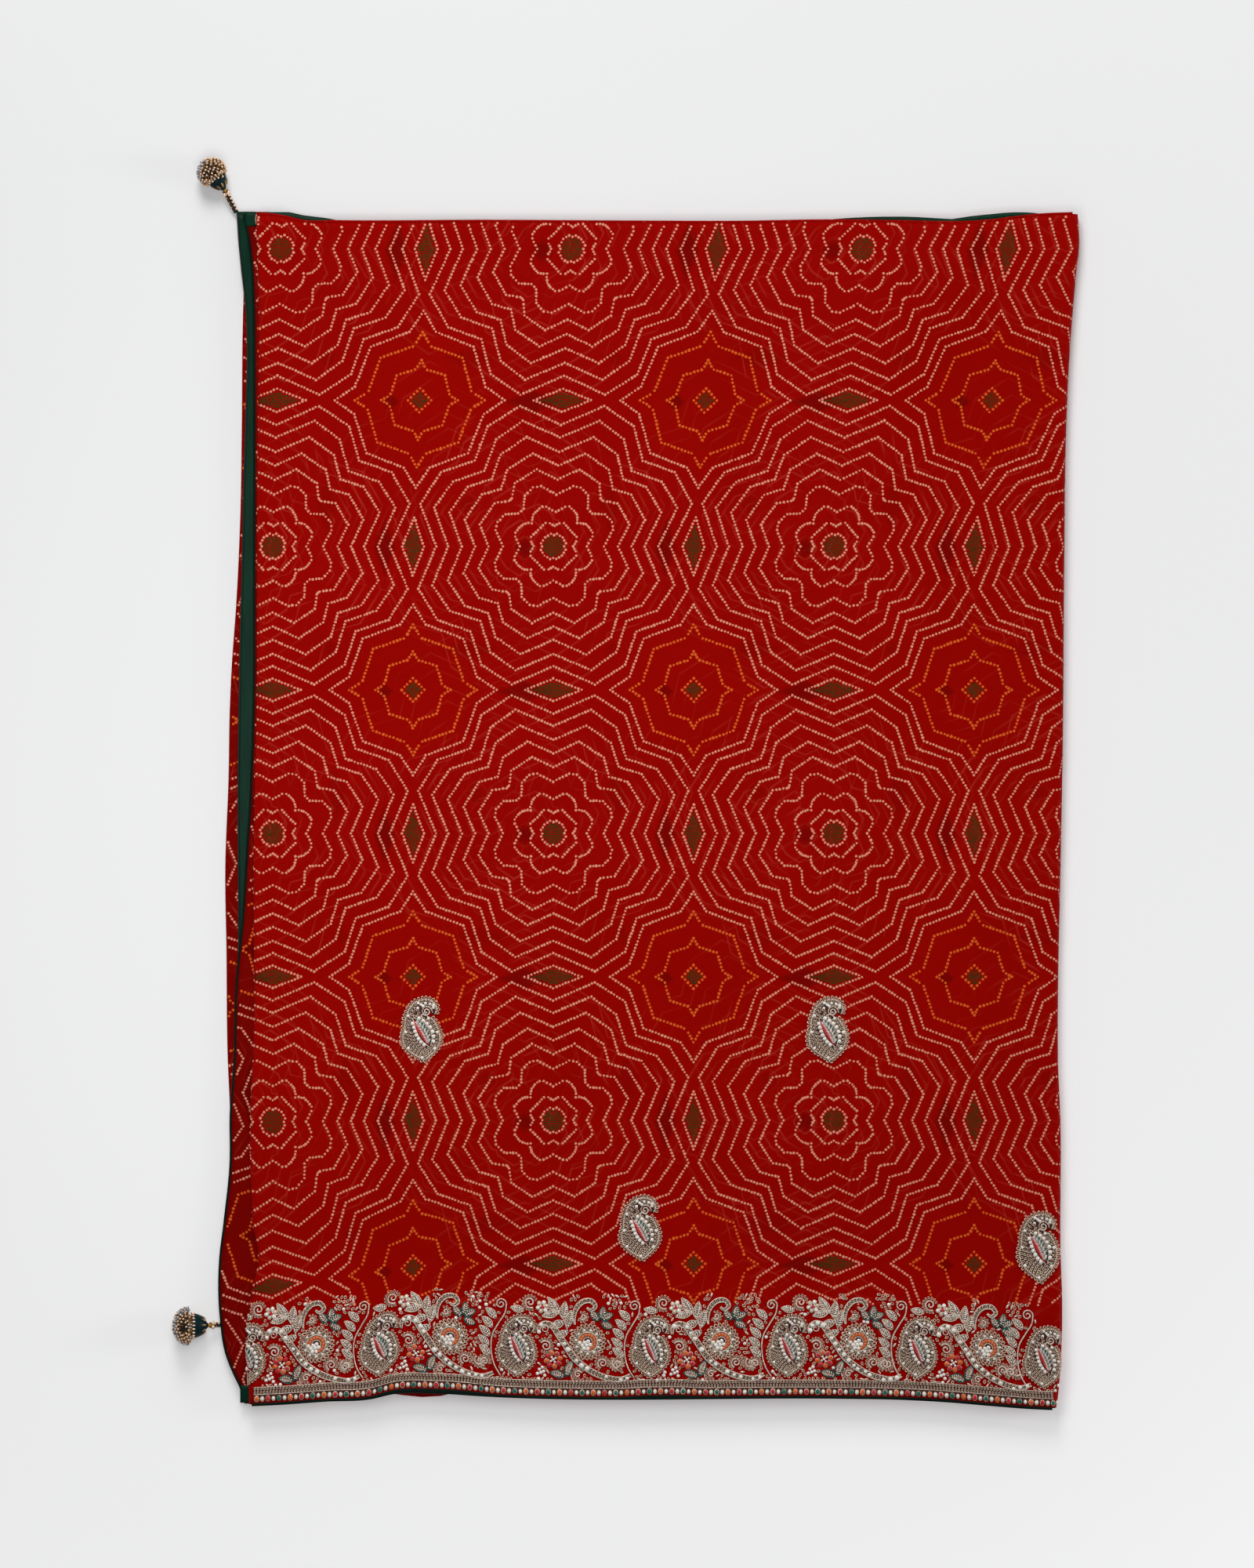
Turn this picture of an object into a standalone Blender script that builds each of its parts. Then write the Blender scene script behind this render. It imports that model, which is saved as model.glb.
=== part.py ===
"""A bandhani saree, folded three times in half and laid flat, with an embroidered hem.

Six metres of cloth lie in eight layers.  The top stretch turns under at a left fold and
right round the heap at the right fold.  At the left the two free ends and a second fold
step out from under it, and a tassel hangs from two places on one free end.
Lengths are in millimetres until a mesh is made.  +X is right, +Y up the cloth and +Z up,
with the origin under the middle of the whole outline.
"""

import math

import bmesh
import bpy
import numpy as np
from mathutils import Vector

MM = 0.001

# Cloth and seams
WALL = 1.2
GAP = 0.3
PITCH = 1.6
FACING_WALL = 1.0
HEM_CORD = 1.6

# How far the heap's layers, counted in pitches above the lowest one, lie up
LEVEL_UNDER = 0
LEVEL_FOLD = 1
LEVEL_END_C = 2
LEVEL_FACING = 3
LEVEL_END_B = 4
LEVEL_LIP = 5
LEVEL_TOP = 8

# Plan sizes of the folds, and where what is turned in ends
HEAP_LEFT = -337.0
UNDER_RIGHT = 388.0
INNER_FOLD_SETBACK = 5.4
FOLD_CLEARANCE = 0.58
RIGHT_SETBACK = 2.5
LEFT_FOLD_DEPTH = 2.2
RIGHT_FOLD_DEPTH = 5.5
STRIP_FOLD_DEPTH = 0.8
FACING_WIDTH = 18.5
FACING_TAPER_START = -650.0
FACING_TAPER = 150.0
CLOTH_LENGTH = 1118.0
NEAR_LINE = -579.0
FAR_LINE = 532.0

# Near and far ends of the pieces that step out at the left
LEFT_FOLD_SPAN = (-580.0, 536.0)
END_C_SPAN = (-582.0, 540.0)
END_B_SPAN = (-584.0, 538.0)
END_B_CORD_SPAN = (-583.0, 537.0)

# Height of the heap
HEM_TOP = -430.0
HEM_RAMP = 90.0
HEM_EXTRA = 0.40
HEM_FADE = 60.0
SWELL = 0.035
SWELL_ACROSS = 62.0
SWELL_ALONG = 88.0
SWELL_SLANT = 97.0
RIDGE = 0.07
RIDGE_INSET = 12.0
RIDGE_WIDTH = 45.0

# Mesh spacing
HEM_ROW = 15.0
HEM_ROWS = 11
PLAIN_ROWS = 18
TOP_COLUMNS = 22
LEFT_FOLD_STEPS = 5
RIGHT_FOLD_STEPS = 6
STRIP_FOLD_STEPS = 4
UNDERSIDE_ROWS = 5
UNDERSIDE_COLUMNS = 15
HEAP_END_COLUMNS = 19

RED = (0.27, 0.004, 0.002, 1.0)
GREEN = (0.010, 0.045, 0.031, 1.0)
METAL_THREAD = (0.42, 0.31, 0.25, 1.0)
GOLD_BEAD = (0.40, 0.21, 0.08, 1.0)

# Outlines seen from above, in mm: each row is a place along the edge, then the edge there
TOP_LEFT_EDGE = np.array([  # y, x
    (-583.0, -355.7), (-501.8, -356.5), (-476.7, -353.5), (-449.4, -347.6), (-414.0, -352.8),
    (-388.9, -354.2), (-321.0, -355.3), (-250.9, -352.4), (-59.0, -352.0), (73.8, -349.1),
    (250.9, -348.6), (357.9, -347.6), (414.0, -346.9), (470.8, -347.6), (536.7, -349.4)])
TOP_RIGHT_EDGE = np.array([  # y, x
    (-588.0, 404.5), (-579.3, 405.9), (-555.0, 408.1), (-495.9, 410.3), (-436.9, 408.9),
    (-318.8, 408.9), (-259.8, 406.6), (-200.7, 406.6), (-82.7, 408.9), (35.4, 411.1),
    (212.5, 412.5), (330.6, 414.2), (400.0, 417.2), (478.2, 423.4),
    (511.4, 426.6), (538.7, 425.1)])
TOP_FAR_EDGE = np.array([  # x, y
    (-349.4, 536.7), (-335.1, 537.3), (-318.8, 534.5), (-307.7, 531.7), (-273.1, 531.0),
    (-132.8, 531.4), (0.0, 530.6), (103.3, 530.3), (191.9, 531.7), (256.1, 531.0),
    (319.6, 530.3), (343.9, 531.9), (364.6, 534.6), (383.8, 536.7), (423.6, 538.6)])
TOP_NEAR_EDGE = np.array([  # x, y
    (-355.7, -585.2), (-326.2, -583.8), (-283.4, -580.8), (-241.3, -578.6), (-219.9, -573.8),
    (-177.9, -573.4), (-132.8, -576.1), (206.6, -578.2), (251.7, -579.0), (296.7, -581.2),
    (342.4, -584.9), (372.0, -587.2), (404.0, -588.8)])
END_B_EDGE = np.array([  # y, x
    (-584.0, -361.0), (-569.7, -363.1), (-557.2, -369.0), (-538.7, -376.4), (-501.8, -382.3),
    (-448.0, -383.0), (-414.0, -379.0), (-355.0, -373.1), (-312.2, -373.1), (-265.7, -369.7),
    (-184.5, -367.2), (-132.1, -362.0), (-59.0, -357.2), (0.0, -353.8), (250.9, -350.9),
    (394.1, -350.9), (454.6, -351.4), (492.2, -353.2), (521.0, -357.2), (538.0, -360.9)])
END_C_EDGE = np.array([  # y, x
    (-582.0, -359.5), (-545.0, -371.5), (-510.0, -379.4), (-440.0, -379.6), (-380.0, -374.0),
    (-280.0, -368.6), (-147.6, -367.5), (0.0, -368.0), (162.4, -365.3), (221.4, -363.8),
    (282.7, -362.7), (338.7, -360.9), (451.7, -360.9), (484.9, -364.6), (515.1, -367.5),
    (540.0, -369.0)])
LEFT_FOLD_EDGE = np.array([  # y, x
    (-580.0, -360.5), (-540.0, -369.5), (-500.0, -376.0), (-414.0, -376.5), (-321.0, -374.9),
    (-253.9, -377.5), (-152.8, -378.6), (-84.9, -379.7), (11.8, -376.4), (62.7, -375.6),
    (113.7, -373.4), (163.8, -369.7), (258.3, -365.3), (338.7, -364.0), (434.7, -363.1),
    (500.0, -361.0), (536.0, -360.0)])

# Where hidden layers show past the top stretch: layer level, middle x, half width, reach
FAR_CRESCENTS = (
    (LEVEL_END_C, -308.0, 48.0, 6.8), (LEVEL_TOP - 2, 262.0, 100.0, 5.0),
    (LEVEL_TOP - 2, 342.0, 62.0, 6.5))
NEAR_CRESCENTS = ((LEVEL_END_C, -193.0, 42.0, 7.6), (LEVEL_TOP - 3, 26.0, 18.0, 1.6))
HIDDEN_TUCK = 2.0

# A hidden layer's half thickness and the groove above it, in pitches, and the groove's depth
LAYER_HALF = 0.42
GROOVE_RISE = 0.08
GROOVE_DEPTH = 2.0
CROWN_RINGS = ((-0.2, 8.0, False), (1.5, 30.0, True))  # drop below the last layer, inset, flat

# Embroidery: sizes of one repeat of the hem, whose own origin is its paisley's middle
BUTTI_PLACES = ((-193.4, -231.0), (188.9, -231.0), (12.5, -417.7), (387.0, -433.2))
PAISLEY_X = (-236.2, -107.0, 18.5, 147.6, 269.4, 388.0)
PAISLEY_Y = -530.0
PAISLEY_TURN = math.radians(-6.0)
PAISLEY_SCALE = 0.86
REPEAT = 126.0
THREAD_RISE = 2.0
RIGHT_LIMIT = 7.2

# The stitched band along the hem: two rows of chain above a row of set stones
BAND_COLUMNS = 33
BAND_END = 4.5
BAND_INSET = 0.4
BAND_SECTION = np.array([  # up from the hem, rise
    (0.0, 0.0), (0.4, 1.1), (3.2, 1.9), (6.0, 1.1), (7.0, 0.9), (9.0, 1.4), (11.0, 0.9),
    (13.0, 1.4), (15.0, 0.7), (15.0, 0.0)])

# A paisley as a tapering ridge, in mm: across, up, half width
PAISLEY = np.array([
    (3.0, -31.0, 1.2), (2.5, -27.5, 9.0), (1.5, -20.5, 16.5), (0.0, -10.0, 21.0),
    (-2.0, 1.0, 19.0), (-5.5, 11.5, 13.5), (-5.5, 20.5, 8.6), (0.5, 26.6, 6.0),
    (8.0, 27.0, 5.2), (13.0, 21.5, 4.4), (12.8, 16.0, 2.6)])
PAISLEY_BODY_ROWS = 6
RIDGE_STATIONS = 17
HEM_RIDGE_EXTRA = 5
RIDGE_SECTION = np.array([  # across in half widths, share of the rise
    (1.0, 0.0), (0.75, 0.75), (0.0, 1.0), (-0.75, 0.75), (-1.0, 0.0), (0.0, 0.0)])
STEEPEST_RISE = 0.9

# The hem's vine, a rope that rolls over, falls and runs along to the next paisley
VINE = np.array([  # across, up, half width
    (23.5, 13.0, 1.6), (24.0, 21.0, 2.6), (29.0, 24.5, 3.0), (35.0, 20.5, 3.2),
    (40.0, 10.0, 3.3), (47.0, -2.5, 3.3), (57.0, -9.5, 3.3), (65.5, -19.0, 3.2),
    (76.0, -26.5, 3.2), (89.0, -27.5, 3.0), (99.0, -25.0, 2.4)])

# Stitched flowers: where they lie in a repeat, their reach, and how deep their notches go
BLOOM_PLACE = (67.0, 4.5)
BLOOM_RADIUS = 10.5
BLOOM_NOTCH = 0.86
FLOWER_PLACE = (36.5, -12.0)
FLOWER_RADIUS = 8.6
FLOWER_NOTCH = 0.80
LOBES = 8
ROSETTE_RINGS = ((1.0, 0.0), (0.92, 0.7), (0.5, 1.0))

# Tassels: root x, y and level, neck end x and y, heading, head radius and head depth
TASSELS = (
    ("near", -380.1, -510.0, LEVEL_END_C, -395.0, -510.0, 180.0, 18.3, 11.5),
    ("far", -369.3, 540.3, LEVEL_END_C, -380.0, 560.8, 126.0, 15.0, 10.4))
TASSEL_TILT = math.radians(12.0)
TASSEL_SQUASH = 0.84
TASSEL_SETTLE = 2.0
NECK_BEADS = 4
NECK_THREAD = 1.0
BEAD_PROFILE = ((0.12, 1.3), (0.5, 2.3), (0.88, 1.3))
CUP_LENGTH = 13.0
CUP_RADIUS_SHARE = 0.6
CUP_SEAT = 2.4
CUP_PROFILE = np.array([  # share of its length, share of its rim
    (0.2, 0.52), (0.6, 0.86), (0.95, 1.0), (1.0, 0.94)])
LOCK_COLUMNS = 12
LOCK_ROWS = 6
LOCK_LENGTH = 3.6
LOCK_INSET = 0.09
LOCK_STAGES = ((0.55, 0.86), (0.45, 0.62))
LOCK_LIFT = 0.8
HEAD_BACK = -0.42


def clear_scene():
    """Remove whatever objects the file opened with."""
    for item in list(bpy.data.objects):
        bpy.data.objects.remove(item, do_unlink=True)


def principled(name, colour, roughness, metallic=0.0):
    """A plain surface of one colour."""
    material = bpy.data.materials.new(name)
    material.use_nodes = True
    shader = material.node_tree.nodes["Principled BSDF"]
    shader.inputs["Base Color"].default_value = colour
    shader.inputs["Roughness"].default_value = roughness
    shader.inputs["Metallic"].default_value = metallic
    return material


def eased(rows, at):
    """Read a two-column table at the given places, with smooth bends between its rows."""
    along, value = rows[:, 0], rows[:, 1]
    slope = np.gradient(value, along)
    at = np.clip(at, along[0], along[-1])
    cell = np.clip(np.searchsorted(along, at, side="right") - 1, 0, len(along) - 2)
    step = along[cell + 1] - along[cell]
    t = (at - along[cell]) / step
    return (value[cell] * (1 + 2 * t) * (1 - t) ** 2
            + value[cell + 1] * t * t * (3 - 2 * t)
            + slope[cell] * step * t * (1 - t) ** 2
            + slope[cell + 1] * step * t * t * (t - 1))


def through(rows, count):
    """Spread points evenly along a smooth curve through the rows of a table."""
    chord = np.linalg.norm(np.diff(rows[:, :2], axis=0), axis=1)
    along = np.concatenate(([0.0], np.cumsum(chord)))
    at = np.linspace(0.0, along[-1], count)
    return np.stack([eased(np.stack((along, column), 1), at) for column in rows.T], 1)


def smoothstep(t):
    """Rise from 0 to 1 with level ends."""
    t = np.clip(t, 0.0, 1.0)
    return t * t * (3.0 - 2.0 * t)


def heap_scale(x, y):
    """Thickness of the heap against its plain middle.

    It is 1, plus a rise over the embroidered hem, low swells of about 400 mm, and a
    springy ridge along the right fold.
    """
    hem = HEM_EXTRA * smoothstep((HEM_TOP - y) / HEM_RAMP)
    swell = SWELL * (np.sin(x / SWELL_ACROSS + 0.6) * np.cos(y / SWELL_ALONG - 0.4)
                     + 0.6 * np.sin((x + y) / SWELL_SLANT + 1.1))
    crest = eased(TOP_RIGHT_EDGE, y) - RIDGE_INSET
    return 1.0 + hem + swell + RIDGE * np.exp(-((crest - x) / RIDGE_WIDTH) ** 2)


def level_height(level, x, y):
    """Height of the middle of a layer, counted in pitches above the lowest one."""
    return WALL / 2 + level * PITCH * heap_scale(x, y)


def row_shares():
    """Shares of the cloth's length at which cross-sections lie, close together at the hem."""
    hem = np.arange(HEM_ROWS) * HEM_ROW
    plain = np.linspace(hem[-1], CLOTH_LENGTH, PLAIN_ROWS + 1)[1:]
    return np.concatenate((hem, plain)) / CLOTH_LENGTH


def between(near, far, share):
    """The place a share of the way from the near edge to the far one."""
    return near + (far - near) * share


def make_object(name, mesh, material):
    """Put a mesh into the part's collection with its material."""
    item = bpy.data.objects.new(name, mesh)
    item.data.materials.append(material)
    PART.objects.link(item)
    return item


def grid_mesh(name, points):
    """An open sheet whose corners are an array of points, rows by columns."""
    rows, columns = points.shape[:2]
    sheet = bmesh.new()
    corners = [sheet.verts.new(Vector(p) * MM) for p in points.reshape(-1, 3)]
    for r in range(rows - 1):
        for c in range(columns - 1):
            low = r * columns + c
            sheet.faces.new((corners[low], corners[low + 1],
                             corners[low + columns + 1], corners[low + columns]))
    mesh = bpy.data.meshes.new(name)
    sheet.to_mesh(mesh)
    sheet.free()
    return mesh


def cloth_wall(name, points, material, thickness=WALL):
    """Cloth of an even thickness about an open middle surface."""
    item = make_object(name, grid_mesh(name, points), material)
    item.data.shade_smooth()
    solid = item.modifiers.new("cloth", "SOLIDIFY")
    solid.thickness = thickness * MM
    solid.offset = 0.0
    solid.use_even_offset = True
    return item


def loft(name, rings, material):
    """A closed solid through rings of equal count, with a face over each end."""
    count, around = rings.shape[:2]
    solid = bmesh.new()
    rows = [[solid.verts.new(Vector(p) * MM) for p in ring] for ring in rings]
    for low, high in zip(rows, rows[1:]):
        for i in range(around):
            j = (i + 1) % around
            solid.faces.new((low[i], low[j], high[j], high[i]))
    solid.faces.new(rows[0][::-1])
    solid.faces.new(rows[-1])
    bmesh.ops.recalc_face_normals(solid, faces=solid.faces)
    mesh = bpy.data.meshes.new(name)
    solid.to_mesh(mesh)
    solid.free()
    mesh.shade_smooth()
    mesh.set_sharp_from_angle(angle=math.radians(40.0))
    return make_object(name, mesh, material)


def fold_arc(centre_x, centre_z, depth, rise, first, last, steps):
    """Points of an elliptical fold from one angle to another, measured from straight up."""
    angle = np.linspace(first, last, steps + 1)
    return (centre_x[:, None] + depth * np.sin(angle)[None, :],
            centre_z[:, None] + rise[:, None] * np.cos(angle)[None, :])


def cloth_edges(x):
    """Near and far edges of the top stretch's cloth, inside the cord that binds them."""
    inside = HEM_CORD + GAP
    return eased(TOP_NEAR_EDGE, x) + inside, eased(TOP_FAR_EDGE, x) - inside


def top_columns(y):
    """Places across the top stretch, from the crest of its left fold to its right one's."""
    left_x = eased(TOP_LEFT_EDGE, y) + WALL / 2 + LEFT_FOLD_DEPTH
    right_x = eased(TOP_RIGHT_EDGE, y) - WALL / 2 - RIGHT_FOLD_DEPTH
    share = np.linspace(0.0, 1.0, TOP_COLUMNS + 1)
    return between(left_x[:, None], right_x[:, None], share[None, :])


def top_stretch():
    """The stretch that shows most, with the lip of its left fold and the whole right fold."""
    share = row_shares()
    y_mid = between(NEAR_LINE, FAR_LINE, share)
    run_x = top_columns(y_mid)
    near, far = cloth_edges(run_x)
    run_z = level_height(LEVEL_TOP, run_x, between(near, far, share[:, None]))
    left_x, right_x = run_x[:, 0], run_x[:, -1]
    left_z, right_z = run_z[:, 0], run_z[:, -1]
    lip_z = level_height(LEVEL_LIP, left_x, y_mid)
    under_z = np.full_like(right_z, WALL / 2)

    left_arc = fold_arc(left_x, (left_z + lip_z) / 2, LEFT_FOLD_DEPTH,
                        (left_z - lip_z) / 2, -math.pi, 0.0, LEFT_FOLD_STEPS)
    right_arc = fold_arc(right_x, (right_z + under_z) / 2, RIGHT_FOLD_DEPTH,
                         (right_z - under_z) / 2, 0.0, math.pi, RIGHT_FOLD_STEPS)
    lip_end = np.full_like(left_x, HEAP_LEFT)
    under_end = np.full_like(right_x, UNDER_RIGHT)
    lip_end_z = level_height(LEVEL_LIP, lip_end, y_mid)
    x = np.concatenate((lip_end[:, None], left_arc[0], run_x[:, 1:-1], right_arc[0],
                        under_end[:, None]), 1)
    z = np.concatenate((lip_end_z[:, None], left_arc[1], run_z[:, 1:-1], right_arc[1],
                        under_z[:, None]), 1)
    near, far = cloth_edges(x)
    y = between(near, far, share[:, None])
    return cloth_wall("top_stretch", np.stack((x, y, z), 2), CLOTH)


def free_end(name, edge, level, thickness, inner, span, material):
    """A single layer of a free end, from its outer edge in to where the heap hides it."""
    y = between(*span, row_shares())
    x = between(eased(edge, y)[:, None], inner(y)[:, None], np.array((0.0, 1.0))[None, :])
    y = np.broadcast_to(y[:, None], x.shape)
    points = np.stack((x, y, level_height(level, x, y)), 2)
    return cloth_wall(name, points, material, thickness)


def heap_side(y):
    """Where the pieces that step out at the left meet the hidden layers."""
    return np.full_like(y, HEAP_LEFT)


def facing_side(y):
    """Inner edge of the satin facing, which narrows towards its near end."""
    width = FACING_WIDTH * smoothstep((y - FACING_TAPER_START) / FACING_TAPER)
    return eased(END_C_EDGE, y) + width


def left_fold():
    """The lowest two layers, turned round at the left edge."""
    y = between(*LEFT_FOLD_SPAN, row_shares())
    centre = eased(LEFT_FOLD_EDGE, y) + WALL / 2 + STRIP_FOLD_DEPTH
    upper = level_height(LEVEL_FOLD, centre, y)
    lower = np.full_like(upper, WALL / 2)
    arc_x, arc_z = fold_arc(centre, (upper + lower) / 2, STRIP_FOLD_DEPTH,
                            (upper - lower) / 2, -math.pi, 0.0, STRIP_FOLD_STEPS)
    inner = heap_side(y)
    x = np.concatenate((inner[:, None], arc_x, inner[:, None]), 1)
    upper_inner = level_height(LEVEL_FOLD, inner, y)
    z = np.concatenate((lower[:, None], arc_z, upper_inner[:, None]), 1)
    y = np.broadcast_to(y[:, None], x.shape)
    return cloth_wall("left_fold", np.stack((x, y, z), 2), CLOTH)


def underside():
    """The flat lowest layer between the two folds."""
    share = np.linspace(0.0, 1.0, UNDERSIDE_ROWS)
    x = np.linspace(HEAP_LEFT + GAP, UNDER_RIGHT - GAP, UNDERSIDE_COLUMNS)
    x = np.broadcast_to(x[None, :], (len(share), len(x)))
    near, far = cloth_edges(x)
    y = between(near + HIDDEN_TUCK, far - HIDDEN_TUCK, share[:, None])
    z = np.full_like(x, WALL / 2)
    return cloth_wall("underside", np.stack((x, y, z), 2), CLOTH)


def crescent(rows, level, x):
    """How far a hidden layer reaches past the heap's common edge, as a soft bow."""
    reach = np.zeros_like(x)
    for at_level, middle, half_width, amount in rows:
        if at_level == level:
            bow = np.clip(1.0 - ((x - middle) / half_width) ** 2, 0.0, 1.0)
            reach = np.maximum(reach, (amount + HIDDEN_TUCK) * bow)
    return reach


def heap_ring(level, side_level, inset, flat=False):
    """One level outline of the hidden layers, counter-clockwise from the near left corner."""
    along = np.linspace(0.0, 1.0, HEAP_END_COLUMNS)
    left_rows = row_shares()
    right_rows = np.concatenate((left_rows[:HEM_ROWS], left_rows[HEM_ROWS + 1::2]))
    near_x = between(TOP_NEAR_EDGE[0, 0], TOP_NEAR_EDGE[-1, 0], along)

    def left_at(y):
        if side_level > LEVEL_LIP + 0.5:
            return eased(TOP_LEFT_EDGE, y) + INNER_FOLD_SETBACK + inset
        return heap_side(y) + GAP + inset

    def right_at(y):
        centre = eased(TOP_RIGHT_EDGE, y) - WALL / 2 - RIGHT_FOLD_DEPTH
        half = LEVEL_TOP / 2
        part = np.clip(1.0 - ((level - half) / (half - FOLD_CLEARANCE)) ** 2, 0.0, 1.0)
        depth = RIGHT_FOLD_DEPTH - WALL / 2 - 3 * GAP
        return centre + depth * np.sqrt(part) - RIGHT_SETBACK - inset

    def place(x, share):
        near, far = cloth_edges(x)
        near = near + HIDDEN_TUCK - crescent(NEAR_CRESCENTS, round(side_level), x) + inset
        far = far - HIDDEN_TUCK + crescent(FAR_CRESCENTS, round(side_level), x) - inset
        return between(near, far, share)

    def side(edge_at, shares):
        y = place(edge_at(between(NEAR_LINE, FAR_LINE, shares)), shares)
        return np.stack((edge_at(y), y), 1)

    def end(share):
        y = np.full_like(near_x, between(NEAR_LINE, FAR_LINE, share))
        x = between(left_at(y), right_at(y), along)
        return np.stack((x, place(x, share)), 1)

    outline = np.concatenate((end(0.0)[:-1], side(right_at, right_rows)[:-1],
                              end(1.0)[::-1][:-1], side(left_at, left_rows[::-1])[:-1]))
    x, y = outline.T
    z = np.full_like(x, WALL / 2 + level * PITCH) if flat else level_height(level, x, y)
    return np.stack((x, y, z), 1)


def hidden_layers():
    """The layers inside the heap as one solid, with a groove between layers at its edges."""
    rings = []
    for level in range(LEVEL_FOLD, LEVEL_TOP):
        if level == LEVEL_FACING:
            continue
        top = (LEVEL_FACING if level == LEVEL_END_C else level) + LAYER_HALF
        rings.append(heap_ring(level - LAYER_HALF, level, 0.0))
        rings.append(heap_ring(top, level, 0.0))
        if level < LEVEL_TOP - 1:
            rings.append(heap_ring(top + GROOVE_RISE, level, GROOVE_DEPTH))
    last = LEVEL_TOP - 1
    for drop, inset, flat in CROWN_RINGS:
        rings.append(heap_ring(last - drop, last, inset, flat))
    return loft("hidden_layers", np.array(rings), CLOTH)


def cord(name, points, diameter, material):
    """A round cord along points, with filled ends."""
    curve = bpy.data.curves.new(name, "CURVE")
    curve.dimensions = "3D"
    curve.bevel_depth = diameter / 2 * MM
    curve.bevel_resolution = 1
    curve.use_fill_caps = True
    spline = curve.splines.new("POLY")
    spline.points.add(len(points) - 1)
    for target, point in zip(spline.points, points):
        target.co = (*(Vector(point) * MM), 1.0)
    return make_object(name, curve, material)


def hem_cords():
    """Green piping along the near hem and the free end, and a rolled hem of the far edge."""
    for name, edge, line, side, stuff in (
            ("hem_cord_near", TOP_NEAR_EDGE, NEAR_LINE, 1.0, GREEN_SATIN),
            ("hem_cord_far", TOP_FAR_EDGE, FAR_LINE, -1.0, CLOTH)):
        x = top_columns(np.array([line]))[0]
        y = eased(edge, x) + side * HEM_CORD / 2
        z = level_height(LEVEL_TOP, x, y)
        cord(name, np.stack((x, y, z), 1), HEM_CORD, stuff)
    y = between(*END_B_CORD_SPAN, row_shares())
    x = eased(END_B_EDGE, y) - GAP - HEM_CORD / 2
    z = level_height(LEVEL_END_B, x, y)
    cord("end_b_cord", np.stack((x, y, z), 1), HEM_CORD, GREEN_SATIN)


def hem_follow(x, y):
    """Shift what lies on the hem with the hem's own near edge, fading out up the cloth."""
    fade = smoothstep((HEM_TOP - y) / HEM_FADE)
    return y + (eased(TOP_NEAR_EDGE, x) - NEAR_LINE) * fade


def on_top(x, y, rise):
    """Points a rise above the top stretch, past the gap that parts it from what lies on it."""
    height = level_height(LEVEL_TOP, x, y) + WALL / 2 + GAP + rise
    return np.stack((x, y, height), -1)


def ridge(name, rows, count):
    """A rounded ridge of couched metal thread along a tapering line on the top stretch."""
    line = through(rows, count)
    centre, half = line[:, :2], line[:, 2]
    heading = np.gradient(centre, axis=0)
    heading /= np.linalg.norm(heading, axis=1)[:, None]
    across = np.stack((-heading[:, 1], heading[:, 0]), 1)
    aside, lift = RIDGE_SECTION.T
    place = centre[:, None, :] + across[:, None, :] * (half[:, None] * aside)[..., None]
    x = np.minimum(place[..., 0], eased(TOP_RIGHT_EDGE, place[..., 1]) - RIGHT_LIMIT)
    y = hem_follow(x, place[..., 1])
    height = np.minimum(THREAD_RISE, half * STEEPEST_RISE)[:, None] * lift
    return loft(name, on_top(x, y, height), THREAD)


def placed(rows, origin, turn=0.0, scale=1.0):
    """A motif's rows turned, scaled and moved to their place."""
    cos, sin = math.cos(turn) * scale, math.sin(turn) * scale
    across, up, half = rows.T
    return np.stack((origin[0] + across * cos - up * sin,
                     origin[1] + across * sin + up * cos, half * scale), 1)


def rosette(name, origin, radius, notch):
    """A low scalloped disc that stands for a stitched flower."""
    corner = np.arange(2 * LOBES)
    angle = corner * math.pi / LOBES
    reach = radius * np.where(corner % 2, notch, 1.0)
    rings = []
    for share, lift in ROSETTE_RINGS:
        x = origin[0] + reach * share * np.cos(angle)
        y = origin[1] + reach * share * np.sin(angle)
        rings.append(on_top(x, hem_follow(x, y), np.full_like(x, lift * THREAD_RISE)))
    return loft(name, np.array(rings), THREAD)


def embroidery():
    """Scattered paisleys, and the hem's paisleys, vines, blooms, flowers and edge band."""
    for index, place in enumerate(BUTTI_PLACES, 1):
        ridge(f"butti_{index}", placed(PAISLEY, place), RIDGE_STATIONS)
    last = len(PAISLEY_X)
    for index, at_x in enumerate(PAISLEY_X, 1):
        origin = (at_x, PAISLEY_Y)
        rows = PAISLEY if index < last else PAISLEY[:PAISLEY_BODY_ROWS]
        ridge(f"hem_paisley_{index}", placed(rows, origin, PAISLEY_TURN, PAISLEY_SCALE),
              len(rows) + HEM_RIDGE_EXTRA)
    starts = (PAISLEY_X[0] - REPEAT, *PAISLEY_X[:-1])
    for index, at_x in enumerate(starts, 1):
        origin = np.array((at_x, PAISLEY_Y))
        ridge(f"hem_vine_{index}", placed(VINE, origin), RIDGE_STATIONS)
        rosette(f"hem_bloom_{index}", origin + BLOOM_PLACE, BLOOM_RADIUS, BLOOM_NOTCH)
        rosette(f"hem_flower_{index}", origin + FLOWER_PLACE, FLOWER_RADIUS, FLOWER_NOTCH)
    edge_band()


def edge_band():
    """The stitched band along the hem: two rows of chain above a row of set stones."""
    x = np.linspace(TOP_NEAR_EDGE[0, 0] + BAND_END, TOP_NEAR_EDGE[-1, 0] - RIGHT_LIMIT,
                    BAND_COLUMNS)
    near = cloth_edges(x)[0] + BAND_INSET
    y = near[:, None] + BAND_SECTION[None, :, 0]
    x = np.broadcast_to(x[:, None], y.shape)
    rise = np.broadcast_to(BAND_SECTION[None, :, 1], y.shape)
    return loft("hem_band", on_top(x, y, rise), THREAD)


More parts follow.
